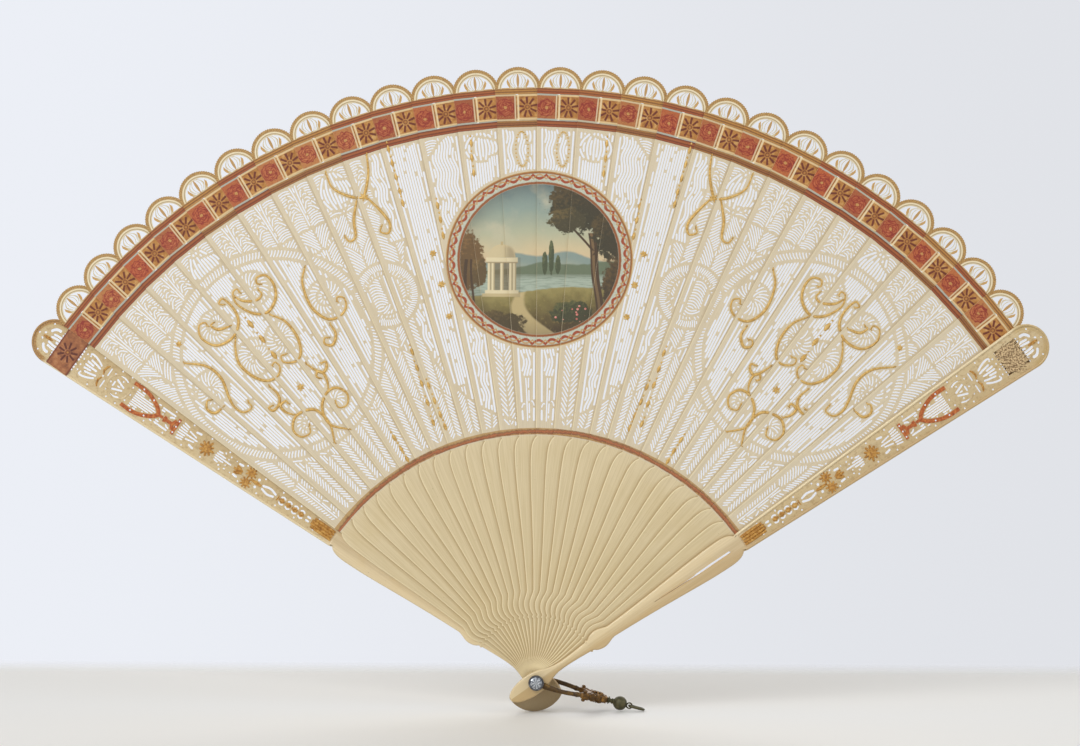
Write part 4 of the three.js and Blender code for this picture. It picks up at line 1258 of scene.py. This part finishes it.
# Painted light and shade on the rounded guard: lighter towards its left rim and darker towards its right, with a
# painted highlight on the left rim and painted shade on the right one.
across = guard_u / rim_half
colour = colour.over(across.rises(-0.1, -1.0) * 0.42, "f0deb6")
colour = colour.over(across.rises(0.0, 1.0) * 0.5, "be9e6a")
colour = colour.over(outer_rim * across.rises(0.1, -0.1) * 0.45, "f2e4be")
colour = colour.over(outer_rim * across.rises(-0.1, 0.1) * 0.4, "b28e50")
# Painted shade in the sunk panel: darker than the rims, and darker still in patches.
in_panel = (rim_half - 1.2 - guard_u.size()).rises(-0.35, 0.1) * guard_r.rises(102, 104) * guard_r.rises(246, 244)
colour = colour.over(in_panel * 0.45, "c2ac7e")
recess_mottle = noise_of(place, 0.8, 3.0)
colour = colour.over(in_panel * recess_mottle.rises(0.5, 0.68) * 0.4, "9e7e4e")
top_reach = (guard_u * guard_u + (guard_r - 238.7).most(0.0) * (guard_r - 238.7).most(0.0)).power(0.5)
arch_rim = guard_r.rises(236.5, 239.0) * top_reach.rises(6.6, 7.0)
colour = colour.over(arch_rim * 0.5, "ba9e64")
rope = ((guard_r - 238.7).sum("ARCTAN2", guard_r - 238.7, guard_u) * 46 + top_reach * 2.0).wave()
brown_rim = fine.rises(0.3, 0.7).between("966834", "ba9256")
brown_rim = brown_rim.over(rope.rises(0.3, 0.8) * 0.3, "7a522a")
is_rear = parts_of(place)[0].rises(0.0, -1.0)
colour = colour.over(arch_rim * top_reach.rises(7.1, 7.4) * is_rear * 0.9, brown_rim)
colour = colour.over(noise_of(place, 1.5, 1.0).rises(0.765, 0.785) * 0.5, "8c7046")
crack_at = guard_u - (guard_r - 58.0) * 0.034 - 0.1 + (fine - 0.5) * 0.1
colour = colour.over(crack_at.size().rises(0.16, 0.07) * guard_r.within(57.5, 76.5, 0.4) * (1 - is_rear) * 0.8,
                     "684c2c")
colour = colour.over(crack_at.size().rises(0.9, 0.3) * guard_r.within(60, 94, 2.0) * (1 - is_rear) * 0.3, "c49654")
feed(guard_ivory, "Base Color", colour)
feed(guard_ivory, "Roughness", grain * 0.16 + 0.27)
surface(guard_ivory)["Coat Weight"].default_value = 0.25
scratches = base.node("Bump", {}, {"Strength": 0.25, "Distance": 0.00005, "Height": grain * 0.7 + fine * 0.3})
feed(guard_ivory, "Normal", scratches)

paints = {}
for name, tones in (("lyre_red", ("783818", "a85422", "bc6a2e", "d89852")),
                    ("flower_gold", ("784e1e", "ac7832", "c49448", "e2be78"))):
    paints[name], base = new_finish(name)
    place = place_in_mm(base)
    worn = noise_of(place, 1.1, 4.0)
    tone = worn.ramp([*zip((0.2, 0.45, 0.6, 0.85), tones)])
    feed(paints[name], "Base Color", tone)
    feed(paints[name], "Roughness", worn * 0.3 + 0.3)


def window_half(r):
    return half_width(r, guard_half) - 1.2


def both(line):
    """A line and its mirror image on the other side of the panel."""
    line = np.array(line, float)
    return [line, line * (-1, 1)]


window_top = tip_radius - guard_half
panel_window = [(-window_half(100.3), 100.3), (window_half(100.3), 100.3), (window_half(window_top), window_top)]
panel_window += [tuple(p) for p in arc((0, window_top), window_half(window_top), 8, 172, 18)]
panel_window += [(-window_half(window_top), window_top)]
guard_outline = [p * 0.9992 for p in blade_outline(guard_half)]
pin_places = [(side * (half_width(r, guard_half) - 2.05), r) for side in (-1, 1) for r in np.arange(109, 222, 9.07)]
pin_places += [(0, 245.7), (-6.1, 242.5), (6.1, 242.5), (-6.3, 204.2), (6.3, 204.2), (0, 214.5), (0, 210.6)]
pin_places += [(side * u, r) for side in (-1, 1) for u, r in
               ((3.6, 210.6), (2.75, 206.2), (3.1, 201.7), (1.3, 224.7), (3.7, 224.5), (1.7, 138.2))]
pin_places += [(0, 201.0), (-5.1, 197.6), (5.1, 197.6), (-3.75, 191.8), (3.75, 191.8), (-2.6, 178.4),
               (0, 178.4), (2.6, 178.4)]
pin_holes = [arc(spot, 0.62 if 138 < spot[1] < 139 else 0.4, 0, 315, 7) for spot in pin_places]
crack = [(0.26, 61), (0.62, 72), (0.84, 75.8), (0.96, 78), (0.98, 93.7), (0.7, 94.2), (0.45, 93.5), (0.2, 94.0),
         (0.1, 85), (0.2, 77.4), (0.46, 76.3), (0.44, 72)]

# The lyre: two arms, a stem with a knob, a foot and the bar that it stands on.
lyre_arm = [(0, 186.9), (1.9, 188.6), (3.5, 191.4), (4.7, 194.6), (5.2, 198.0), (5.1, 202.2)]
lyre_lines = [(smooth(arm), 0.8) for arm in both(lyre_arm)]
lyre_lines += [(np.array([(0, 187), (0, 184.8)]), 0.55), (smooth([(-1.2, 183.6), (0, 183.9), (1.2, 183.6)]), 0.7),
               (np.array([(0, 183.4), (0, 180)]), 0.7), (smooth([(-2.1, 179.3), (0, 180.2), (2.1, 179.3)]), 0.7),
               (np.array([(-3.6, 178.4), (3.6, 178.4)]), 0.65)]


def pierce_panel():
    """The piercings of a guard's panel, from the tip down."""
    saw = Fretsaw(0)
    u, r = saw.u, saw.r
    saw.kept = ((np.abs(u) > half_width(r, guard_half) - 2.75) | (r < 100.5)
                | (np.hypot(u, (r - window_top).clip(0)) > 5.9))
    for spot in pin_places:
        saw.keep(np.array([spot]), 0.66)
    for line, half in lyre_lines:
        saw.keep(spaced(line, 0.15), half + 0.05)
    cuts = []
    for line in ([(0.9, 243.3), (1.5, 243.7), (2.6, 243.5), (3.5, 242.8)],
                 [(5.0, 238.2), (4.9, 240.0), (4.0, 241.3), (2.6, 242.1)]):
        cuts += [(half, 1.15) for half in both(smooth(line))]
    for k, top in ((0, 238.6), (1, 241.2), (2, 241.0), (3, 240.2)):
        wave = [(1.3 * k + 0.2 * math.sin(t * 0.8), t) for t in np.arange(225.8, top, 0.4)]
        cuts += [(half, 0.92) for half in (both(wave) if k else [wave])]
    cuts += [(half, 0.8) for half in both([(5.15, 226), (5.2, 237.2)])]
    cuts.append(([(0, 217.3), (0, 223.4)], 0.8))
    for line in ([(0.75, 216.6), (1.1, 219.6), (1.5, 223.2)], [(1.6, 216.6), (2.2, 218.8), (2.75, 222.2)],
                 [(1.5, 215.3), (3.2, 217.4), (4.5, 220.2), (4.9, 222.6), (4.1, 223.6), (3.6, 222.6)]):
        cuts += [(half, 0.8) for half in both(smooth(line))]
    cuts += [(half, 0.62) for half in both([(0.9, 213.0), (4.7, 213.0)])
             + both(smooth([(4.45, 208.6), (4.3, 206.3), (3.6, 204.2)]))]
    cuts += [(half, 0.8) for half in both([(2.3, 209.0), (0.55, 204.4)])]
    cuts += [([(-1.3, 209.1), (1.3, 209.1)], 0.75), ([(0, 207.6), (0, 205.9)], 0.6)]
    cuts += [(half, 0.62) for k in range(5)
             for half in (both([(0.95 * k, 199.7), (0.93 * k, 187.8)]) if k else [[(0, 199.7), (0, 188.4)]])]
    for line in ([(4.6, 190.6), (4.5, 186.0), (4.45, 180.8)], [(3.45, 188.6), (3.45, 184.5), (3.5, 180.5)],
                 [(2.4, 187.2), (2.45, 185.2)], [(0.95, 185.9), (1.9, 185.1)],
                 [(1.5, 182.6), (2.3, 181.6), (2.5, 180.4)]):
        cuts += [(half, 0.74) for half in both(smooth(line))]
    for k in range(4):
        line = [(0.5 * k, 167.6 + 0.5 * k), (0.9 * k, 172.6), (1.16 * k, 177.0 - 0.06 * k * k)]
        cuts += [(half, 0.66) for half in (both(smooth(line)) if k else [line])]
    for line in ([(2.9, 170.4), (3.3, 168.6), (3.5, 166.8)], [(3.55, 160.2), (3.4, 158.2)]):
        cuts += [(half, 0.9) for half in both(smooth(line))]
    for k in range(3):
        line = [(0.95 * k, 159.0 - 0.2 * k), (1.05 * k, 155.5), (0.6 * k, 150.9 + 0.9 * k)]
        cuts += [(half, 0.66) for half in (both(smooth(line)) if k else [line])]
        line = [(3.0, 157.2 - 2.7 * k), (3.25, 156.2 - 2.7 * k), (2.5, 155.0 - 2.7 * k)]
        cuts += [(half, 0.72) for half in both(smooth(line))]
    cuts += [(half, 0.9) for half in both([(2.5, 149.0), (2.7, 146.2)])
             + both(smooth([(0.5, 136.0), (1.35, 132.4), (0.45, 128.9)]))]
    for k in range(4):
        line = [(0.95, 127.0 - 3.15 * k), (1.65, 125.7 - 3.15 * k), (0.95, 124.5 - 3.15 * k)]
        cuts += [(half, 0.66) for half in both(smooth(line))]
    cuts += [(half, 0.85) for half in both([(0.8, 113.9), (0.8, 111.9)])]
    for line, width in cuts:
        saw.cut(line, width, None, least=0.7)
    return saw.holes


guard_gold = []


def lay_gold(line, half, least=0.25):
    """Adds a line to the guards' gilding. It thins out towards its ends."""
    swell = np.sin(np.pi * np.linspace(0.06, 0.94, len(line))) ** 0.6
    guard_gold.append((np.array(line, float), half * (least + (1 - least) * swell)))


for k in range(4):
    lay_gold([(k * 1.2 - 1.8, r) for r in np.linspace(100.6, 110.6 if k in (0, 3) else 111.2, 7)], 0.66, 0.7)
    lay_gold([(0, 126.8 - 3.15 * k), (0, 125.8 - 3.15 * k), (0, 124.6 - 3.15 * k)], 1.0, 0.15)
    lay_gold([(-0.5, 127.3 - 3.15 * k), (0, 126.9 - 3.15 * k), (0.5, 127.3 - 3.15 * k)], 0.22, 0.6)
lay_gold([(-1.2, 128.0), (0, 127.8), (1.2, 128.0)], 0.3, 0.6)
lay_gold([(0, 141), (0, 138.4), (0, 136.2)], 0.75)
for lean in (-0.8, 0, 0.8):
    lay_gold([(lean * 0.4, 145.6), (lean * 1.2, 147.4), (lean * 1.9, 149.6 - abs(lean) * 0.9)], 0.75)
for u, r, size, petals in ((-2.3, 142.3, 2.5, 9), (2.3, 142.3, 2.5, 9), (0, 163.1, 3.3, 10)):
    for ring, turned, half in ((1.0, 0.0, 0.165), (0.6, 0.5, 0.15)):
        for k in range(petals):
            turn = 2 * math.pi * (k + turned) / petals
            ray = np.array((math.sin(turn), math.cos(turn))) * size * ring * (1 + 0.08 * math.sin(k * 2.7))
            lay_gold([(u, r) + ray * 0.1, (u, r) + ray * 0.7, (u, r) + ray * 0.98], size * half, 0.5)
    lay_gold([(u - 0.3, r), (u, r), (u + 0.3, r)], 0.5)
for side in (-1, 1):
    lay_gold([(side * 0.6, 214.6), (side * 2.2, 215.3), (side * 3.9, 214.9), (side * 5.0, 214.2)], 0.5)
lay_gold([(0, 243.6), (0, 241.6), (0, 239.4)], 0.7)
ring_line = np.array([(4.95 * math.cos(t), 206.6 + 4.95 * math.sin(t)) for t in np.linspace(0, 2 * math.pi, 33)])
panel_cuts = pierce_panel()


def lyre_bars(name, high):
    """The lyre's flat bars with the pin holes in them, made one mesh."""
    bars = []
    for k, (line, half) in enumerate(lyre_lines):
        points = spaced(line, 0.4)
        run = np.gradient(points, axis=0)
        away = np.c_[-run[:, 1], run[:, 0]] / np.linalg.norm(run, axis=1)[:, None] * half
        holes = [hole for hole, spot in zip(pin_holes, pin_places) if np.hypot(*(points[2:-2] - spot).T).min() < 0.25]
        bars.append(sheet_of_ivory(name, [*(points + away), *(points - away)[::-1]], holes,
                                   half_thick=high / 2 + 0.006 * k))
    bpy.ops.object.select_all(action="DESELECT")
    for bar in bars:
        bar.select_set(True)
    bpy.context.view_layer.objects.active = bars[0]
    bpy.ops.object.join()
    return bpy.context.object


def turn_over(piece, full):
    """Turns a piece made for the front guard into its mirror image for the rear one."""
    for vertex in piece.data.vertices:
        vertex.co.z = full - vertex.co.z
    in_edit_mode(bpy.ops.mesh.flip_normals)


def guard_piece(piece, guard, material, low):
    """Sets a piece at its height on a guard's outer side, stands it up and lets it ride there."""
    for vertex in piece.data.vertices:
        vertex.co.z += low
    blade = 0 if guard == "rear_guard" else stick_count + 1
    if guard == "rear_guard":
        turn_over(piece, guard_thick)
        stand_up(piece, blade_angle(blade), lambda r, w: guard_inner_y + guard_thick - w)
    else:
        stand_up(piece, blade_angle(blade), lambda r, w: -guard_inner_y - w)
    piece.data.materials.append(material)
    bpy.ops.object.shade_smooth_by_angle(angle=0.7)
    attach(piece, guard)


for guard in ("rear_guard", "front_guard"):
    body_plate = sheet_of_ivory(guard + "_blade", guard_outline, [arc((0, 0), 1.2, 0, 345, 23), panel_window],
                                half_thick=plate_half, bevel=0.7, steps=3)
    if guard == "front_guard":
        in_edit_mode(bpy.ops.mesh.remove_doubles, threshold=0.001)
        wedge = sheet_of_ivory("crack", crack, [], half_thick=3)
        pick(body_plate)
        split = body_plate.modifiers.new("crack", "BOOLEAN")
        split.object = wedge
        bpy.ops.object.modifier_apply(modifier="crack")
        bpy.data.objects.remove(wedge)
    guard_piece(body_plate, guard, guard_ivory, plate_half)
    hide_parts(guard)
    wider = [np.array(p) + (math.copysign(0.5, p[0]), 0.3 if p[1] > 200 else -0.3) for p in panel_window]
    panel = sheet_of_ivory(guard + "_panel", wider, pin_holes + panel_cuts, half_thick=0.42)
    guard_piece(panel, guard, guard_ivory, 0.78)
    for side, heights in (("", (0.22, 0.42, 0.4)), ("_inner", (0.14, 0.3, 0.26))):
        for figure, lines, paint, high in (
                ("ring", [(ring_line, np.full(len(ring_line), 0.34))], guard_ivory, heights[0]),
                ("gold", guard_gold, paints["flower_gold"], heights[1]),
                ("lyre", lyre_lines, paints["lyre_red"], heights[2])):
            make = lyre_bars if lines is lyre_lines else lambda named, up: raised_line(named, lines, up)
            carving = make(f"{guard}{side}_{figure}", high)
            if side:
                turn_over(carving, 0.0)
            guard_piece(carving, guard, paint, 0.36 if side else 1.18)


# The rivet: a steel pin through every head. At each end a steel cup holds a stone of cut paste,
# with its facets ground in steps round a flat table.
def metal(name, dark, middle, bright, shine, rough):
    """A worn metal: dark in its hollows, and brighter where it is rubbed."""
    made, base = new_finish(name)
    place = place_in_mm(base)
    cloud = noise_of(place, 0.7, 5.0)
    fine = noise_of(place, 4.5, 3.0)
    tone = (cloud * 0.75 + fine * 0.25).ramp([(0.25, dark), (0.5, middle), (0.72, bright)])
    feed(made, "Base Color", tone)
    feed(made, "Roughness", fine * 0.25 + rough)
    feed(made, "Metallic", cloud.rises(0.3, 0.6) * 0.3 + shine)
    pits = base.node("Bump", {}, {"Strength": 0.5, "Distance": 0.00008, "Height": fine * 0.6 + cloud})
    feed(made, "Normal", pits)
    return made


steel = metal("worn_steel", "2e2e30", "5c5c5e", "969698", 0.6, 0.25)
paste, base = new_finish("cut_paste")
place = place_in_mm(base)
cut_x, _, cut_z = parts_of(place)
# The paste's colour is painted reflection: facets alternately light and dark, a darker ring round the table, and
# white painted glints.
wedge = (cut_z.sum("ARCTAN2", cut_z, cut_x) * 8 + 0.4).wave()
reach = (cut_x * cut_x + cut_z * cut_z).power(0.5)
spark = base.node("TexVoronoi", {}, {"Vector": place, "Scale": 1.3}, output="Distance")
tone = wedge.rises(-0.3, 0.3).between("6e747c", "bcc2ca")
tone = tone.over(reach.rises(1.0, 2.3) * 0.55, "5c6068")
tone = tone.over(spark.rises(0.3, 0.16), "eef2f8")
feed(paste, "Base Color", tone)
feed(paste, "Roughness", spark * 0.15 + 0.06)
surface(paste)["Metallic"].default_value = 0.35
surface(paste)["Coat Weight"].default_value = 0.8


def turned_piece(name, rings, sides, smooth_angle=0.6):
    """A piece turned about Z, from its rings: the radius and the height of each."""
    bpy.ops.object.select_all(action="DESELECT")
    bpy.ops.mesh.primitive_circle_add(vertices=sides, radius=rings[0][0], location=(0, 0, 0))
    piece = bpy.context.object
    piece.name = name
    bpy.ops.object.mode_set(mode="EDIT")
    bpy.ops.mesh.select_all(action="SELECT")
    bpy.ops.mesh.edge_face_add()
    bpy.ops.mesh.select_all(action="SELECT")
    bpy.ops.transform.translate(value=(0, 0, rings[0][1]))
    for (radius, height), (wider, higher) in zip(rings, rings[1:]):
        bpy.ops.mesh.extrude_region_move(TRANSFORM_OT_translate={"value": (0, 0, higher - height)})
        bpy.ops.transform.resize(value=(wider / radius, wider / radius, 1))
    bpy.ops.mesh.select_all(action="SELECT")
    bpy.ops.mesh.select_non_manifold(extend=False)
    if piece.data.total_edge_sel:
        bpy.ops.mesh.edge_face_add()
    bpy.ops.mesh.select_all(action="SELECT")
    bpy.ops.mesh.normals_make_consistent(inside=False)
    bpy.ops.object.mode_set(mode="OBJECT")
    bpy.ops.object.shade_smooth_by_angle(angle=smooth_angle)
    return piece


def placed(piece, where):
    """Moves every point of a piece to its place. The place is given in millimetres."""
    for vertex in piece.data.vertices:
        vertex.co = Vector(where(*vertex.co)) * mm
    piece.data.update()


bpy.data.objects["pivot_pin"].data.materials.clear()
bpy.data.objects["pivot_pin"].data.materials.append(steel)
for end, facing in (("rear", 1), ("front", -1)):
    cup = turned_piece(end + "_collet_cup", [
        (1.0, 0.0), (2.7, 0.0), (3.0, 0.15), (2.95, 0.45), (3.1, 0.6), (3.05, 0.85), (3.1, 1.1), (2.95, 1.32),
        (2.75, 1.35), (2.5, 1.15), (2.5, 0.55), (1.0, 0.5)], 40)
    claws = []
    for k in range(24):
        turn = k * math.pi / 12
        ray = np.array((math.cos(turn), math.sin(turn)))
        claws.append(([(*ray * 2.85, 1.12), (*ray * 2.8, 1.28), (*ray * 2.66, 1.33)], (0.16, 0.2, 0.12)))
    beading = drawn_tubes(end + "_collet_beading", claws)
    table = turned_piece(end + "_cut_stone", [
        (0.4, 0.52), (2.3, 1.12), (2.46, 1.2), (2.46, 1.26), (1.9, 1.5), (1.35, 1.63), (0.2, 1.65)], 12, 0.02)
    for piece in (cup, beading, table):
        placed(piece, lambda x, y, z, f=facing: (x * f, f * (9.715 + z), y))
        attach(piece, "rear_guard")
    for piece, finish in ((cup, steel), (beading, steel), (table, paste)):
        piece.data.materials.append(finish)
    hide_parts(end + "_collet")
    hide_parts(end + "_stone")


# The bail: two gilt brass arms with eyes on the rivet, a cast crown with scalloped lobes, a
# rosette and knobs, and a bronze finial whose lug holds the ring for a tassel.
tilt = math.radians(15)
arm_inner_y = 8.815
gilt = metal("worn_gilt", "322618", "684c2a", "b08444", 0.55, 0.3)
arm_gilt = metal("dark_gilt", "2c2218", "544026", "8a6c3c", 0.5, 0.32)
bronze = metal("olive_bronze", "2c2a1e", "504c34", "70684a", 0.45, 0.38)


def on_bail(x, y, z):
    return (x * math.cos(tilt) + z * math.sin(tilt), y, z * math.cos(tilt) - x * math.sin(tilt))


for end, side in (("rear", 1), ("front", -1)):
    stations = np.linspace(2.0, 18.5, 45)
    line, halves = [], []
    for x in stations:
        grown = min(1, max(0, (x - 2.0) / 9))
        deep = 0.4 + 0.56 * grown
        rib = 0.06 * math.sin(x * 7.5) + (0.16 if 3.9 < x < 4.6 or 16.6 < x < 17.4 else 0)
        line.append((x, side * (arm_inner_y + deep), side * 0.7 * math.sin(math.pi * x / 18.4)))
        halves.append((1.28 - 0.36 * grown) + rib)
    bar = drawn_tubes(f"bail_bar_{end}", [(line, halves)], 3)
    for vertex in bar.data.vertices:
        grown = min(1, max(0, (vertex.co.x - 2.0) / 9))
        deep, high = 0.4 + 0.56 * grown, 1.28 - 0.36 * grown
        middle = side * (arm_inner_y + deep)
        vertex.co.y = middle + max(-deep, min(deep, (vertex.co.y - middle) * deep / high))
    bpy.ops.object.shade_smooth()
    placed(bar, on_bail)
    eye = sheet_of_ivory(f"bail_eye_{end}", arc((0, 0), 3.0, 0, 350, 35), [arc((0, 0), 1.2, 0, 340, 17)], 0.4, 0.15,
                         1)
    placed(eye, lambda x, y, z, s=side: on_bail(x, s * (9.215 + z), s * y))
    if side > 0:
        in_edit_mode(bpy.ops.mesh.flip_normals)
    for piece in (bar, eye):
        piece.data.materials.append(arm_gilt)
        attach(piece, "bail")
    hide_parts("bail_arm_" + end)

lobes = []
for k in range(33):
    share = k / 32
    swell = 0.9 * abs(math.sin(math.pi * share * 4))
    lobes.append((19.9 + 10.2 * share + swell * 0.3, 11.015 + (1.3 - 11.015) * share ** 0.8 + swell))
lobes[-1] = (30.1, 1.3)
arch = [(21.5, 0.0), *[tuple(p) for p in bend((21.5, 0.0), (21.3, 5.1), (20.5, 7.5), (18.5, 8.5), 10)]]
half_crown = arch + [(18.5, 11.015), *lobes]
crown_outline = half_crown + [(x, -y) for x, y in half_crown[:0:-1]]
eyelets = [[(along + long * math.cos(t), side * (aside + wide * math.sin(t)))
            for t in np.linspace(0, 2 * math.pi, corners + 1)[:-1]]
           for along, aside, long, wide, corners in ((25.0, 4.4, 1.5, 0.75, 12), (22.6, 7.3, 0.7, 0.5, 10))
           for side in (-1, 1)]
crown = sheet_of_ivory("bail_crown_cast", crown_outline, eyelets, 1.15, 0.45, 2)
placed(crown, on_bail)
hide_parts("bail_crown")
relief = []
for face in (-1, 1):
    for side in (-1, 1):
        for k in range(4):
            crest = lobes[4 + 8 * k]
            root = (22.6 + 0.9 * k, 1.6 + 0.8 * (3 - k))
            rib = [root, *bend(root, (root[0] + 0.4, root[1] + 1.2), (crest[0] - 1.6, crest[1] - 1.2),
                               (crest[0] - 0.4, crest[1] - 0.5), 8)]
            relief.append(([(x, side * y, face * 1.15) for x, y in rib],
                           [0.3 + 0.22 * math.sin(math.pi * t / 8) for t in range(9)]))
        for spiral in ((20.3, 9.3, 0.9), (23.3, 7.0, 0.7)):
            curl = [(spiral[0] + spiral[2] * (1 - t / 16) * math.cos(t * 0.75),
                     side * (spiral[1] + spiral[2] * (1 - t / 16) * math.sin(t * 0.75)),
                     face * (1.15 + 0.02 * t)) for t in range(13)]
            relief.append((curl, [0.3] * 13))
    for k in range(8):
        turn = k * math.pi / 4
        ray = np.array((math.cos(turn), math.sin(turn)))
        petal = [(25.5 + ray[0] * reach, ray[1] * reach, face * height) for reach, height in
                 ((0.5, 1.5), (1.2, 1.85), (1.9, 1.75), (2.6, 1.3))]
        relief.append((petal, [0.3, 0.5, 0.52, 0.2]))
for side in (-1, 1):
    for k in range(4):
        crest = lobes[4 + 8 * k]
        relief.append(([(crest[0], side * (crest[1] - 0.7), z) for z in (-1.5, -0.8, 0, 0.8, 1.5)],
                       [0.15, 0.5, 0.62, 0.5, 0.15]))
carving = drawn_tubes("bail_crown_relief", relief, 1)
bpy.ops.object.shade_smooth()
placed(carving, on_bail)
boss = turned_piece("bail_crown_boss", [(0.1, -2.0), (0.6, -1.95), (1.0, -1.6), (1.1, 0), (1.0, 1.6), (0.6, 1.95),
                                        (0.1, 2.0)], 16)
placed(boss, lambda x, y, z: on_bail(x + 25.5, y, z))
knobs = []
for side in (-1, 1):
    for face in (-1, 1):
        knob = turned_piece("bail_knob", [(0.2, 0.6), (0.55, 0.9), (0.4, 1.1), (0.7, 1.35), (0.84, 1.7), (0.7, 2.05),
                                          (0.35, 2.25), (0.08, 2.3)], 12, 1.2)
        knob.name = f"bail_knob_{len(knobs) + 1}"
        placed(knob, lambda x, y, z, s=side, f=face: on_bail(x * f + 19.9, y + s * 9.8, z * f))
        knobs.append(knob)
for piece in (crown, carving, boss, *knobs):
    piece.data.materials.append(gilt)
    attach(piece, "bail")

finial_foot = 30.2
ball_radius = 2.85
ball_middle = 2.4 + ball_radius * 0.92
profile = [(0.3, 0.0), (1.5, 0.02), (1.5, 0.45), (1.1, 0.62), (0.85, 0.9), (0.85, 1.4), (1.2, 1.6), (1.2, 1.8),
           (0.9, 1.95), (1.15, 2.2)]
profile += [(ball_radius * math.cos(t), ball_middle + ball_radius * math.sin(t))
            for t in np.linspace(-1.15, 1.35, 15)]
profile += [(0.75, ball_middle + 2.86), (0.4, ball_middle + 2.95)]
finial = turned_piece("finial_turned", profile, 32, 0.9)
placed(finial, lambda x, y, z: on_bail(finial_foot + z, y, x))
in_edit_mode(bpy.ops.mesh.normals_make_consistent, inside=False)
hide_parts("finial")
lug_at = finial_foot + ball_middle + ball_radius + 1.05
lug_line = [(lug_at + 1.12 * math.cos(t), 0, 1.12 * math.sin(t)) for t in np.linspace(0, 2 * math.pi, 25)[:-1]]
lug = drawn_tubes("finial_lug", [(lug_line, [0.3] * 24)], 2, closed=True)
bpy.ops.object.shade_smooth()
placed(lug, on_bail)
ring_path = [(lug_at + 1.6 + 1.6 * math.cos(t) + (2.8 if math.cos(t) > 0 else 0), 1.6 * math.sin(t), 0)
             for t in np.linspace(0, 2 * math.pi, 33)[:-1] + 0.05]
ring = drawn_tubes("tassel_ring_wire", [(ring_path, [0.5] * 32)], 2, closed=True)
bpy.ops.object.shade_smooth()
placed(ring, on_bail)
for piece, body in ((finial, "bail"), (lug, "bail"), (ring, "tassel_ring")):
    piece.data.materials.append(bronze)
    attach(piece, body)
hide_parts("tassel_ring")
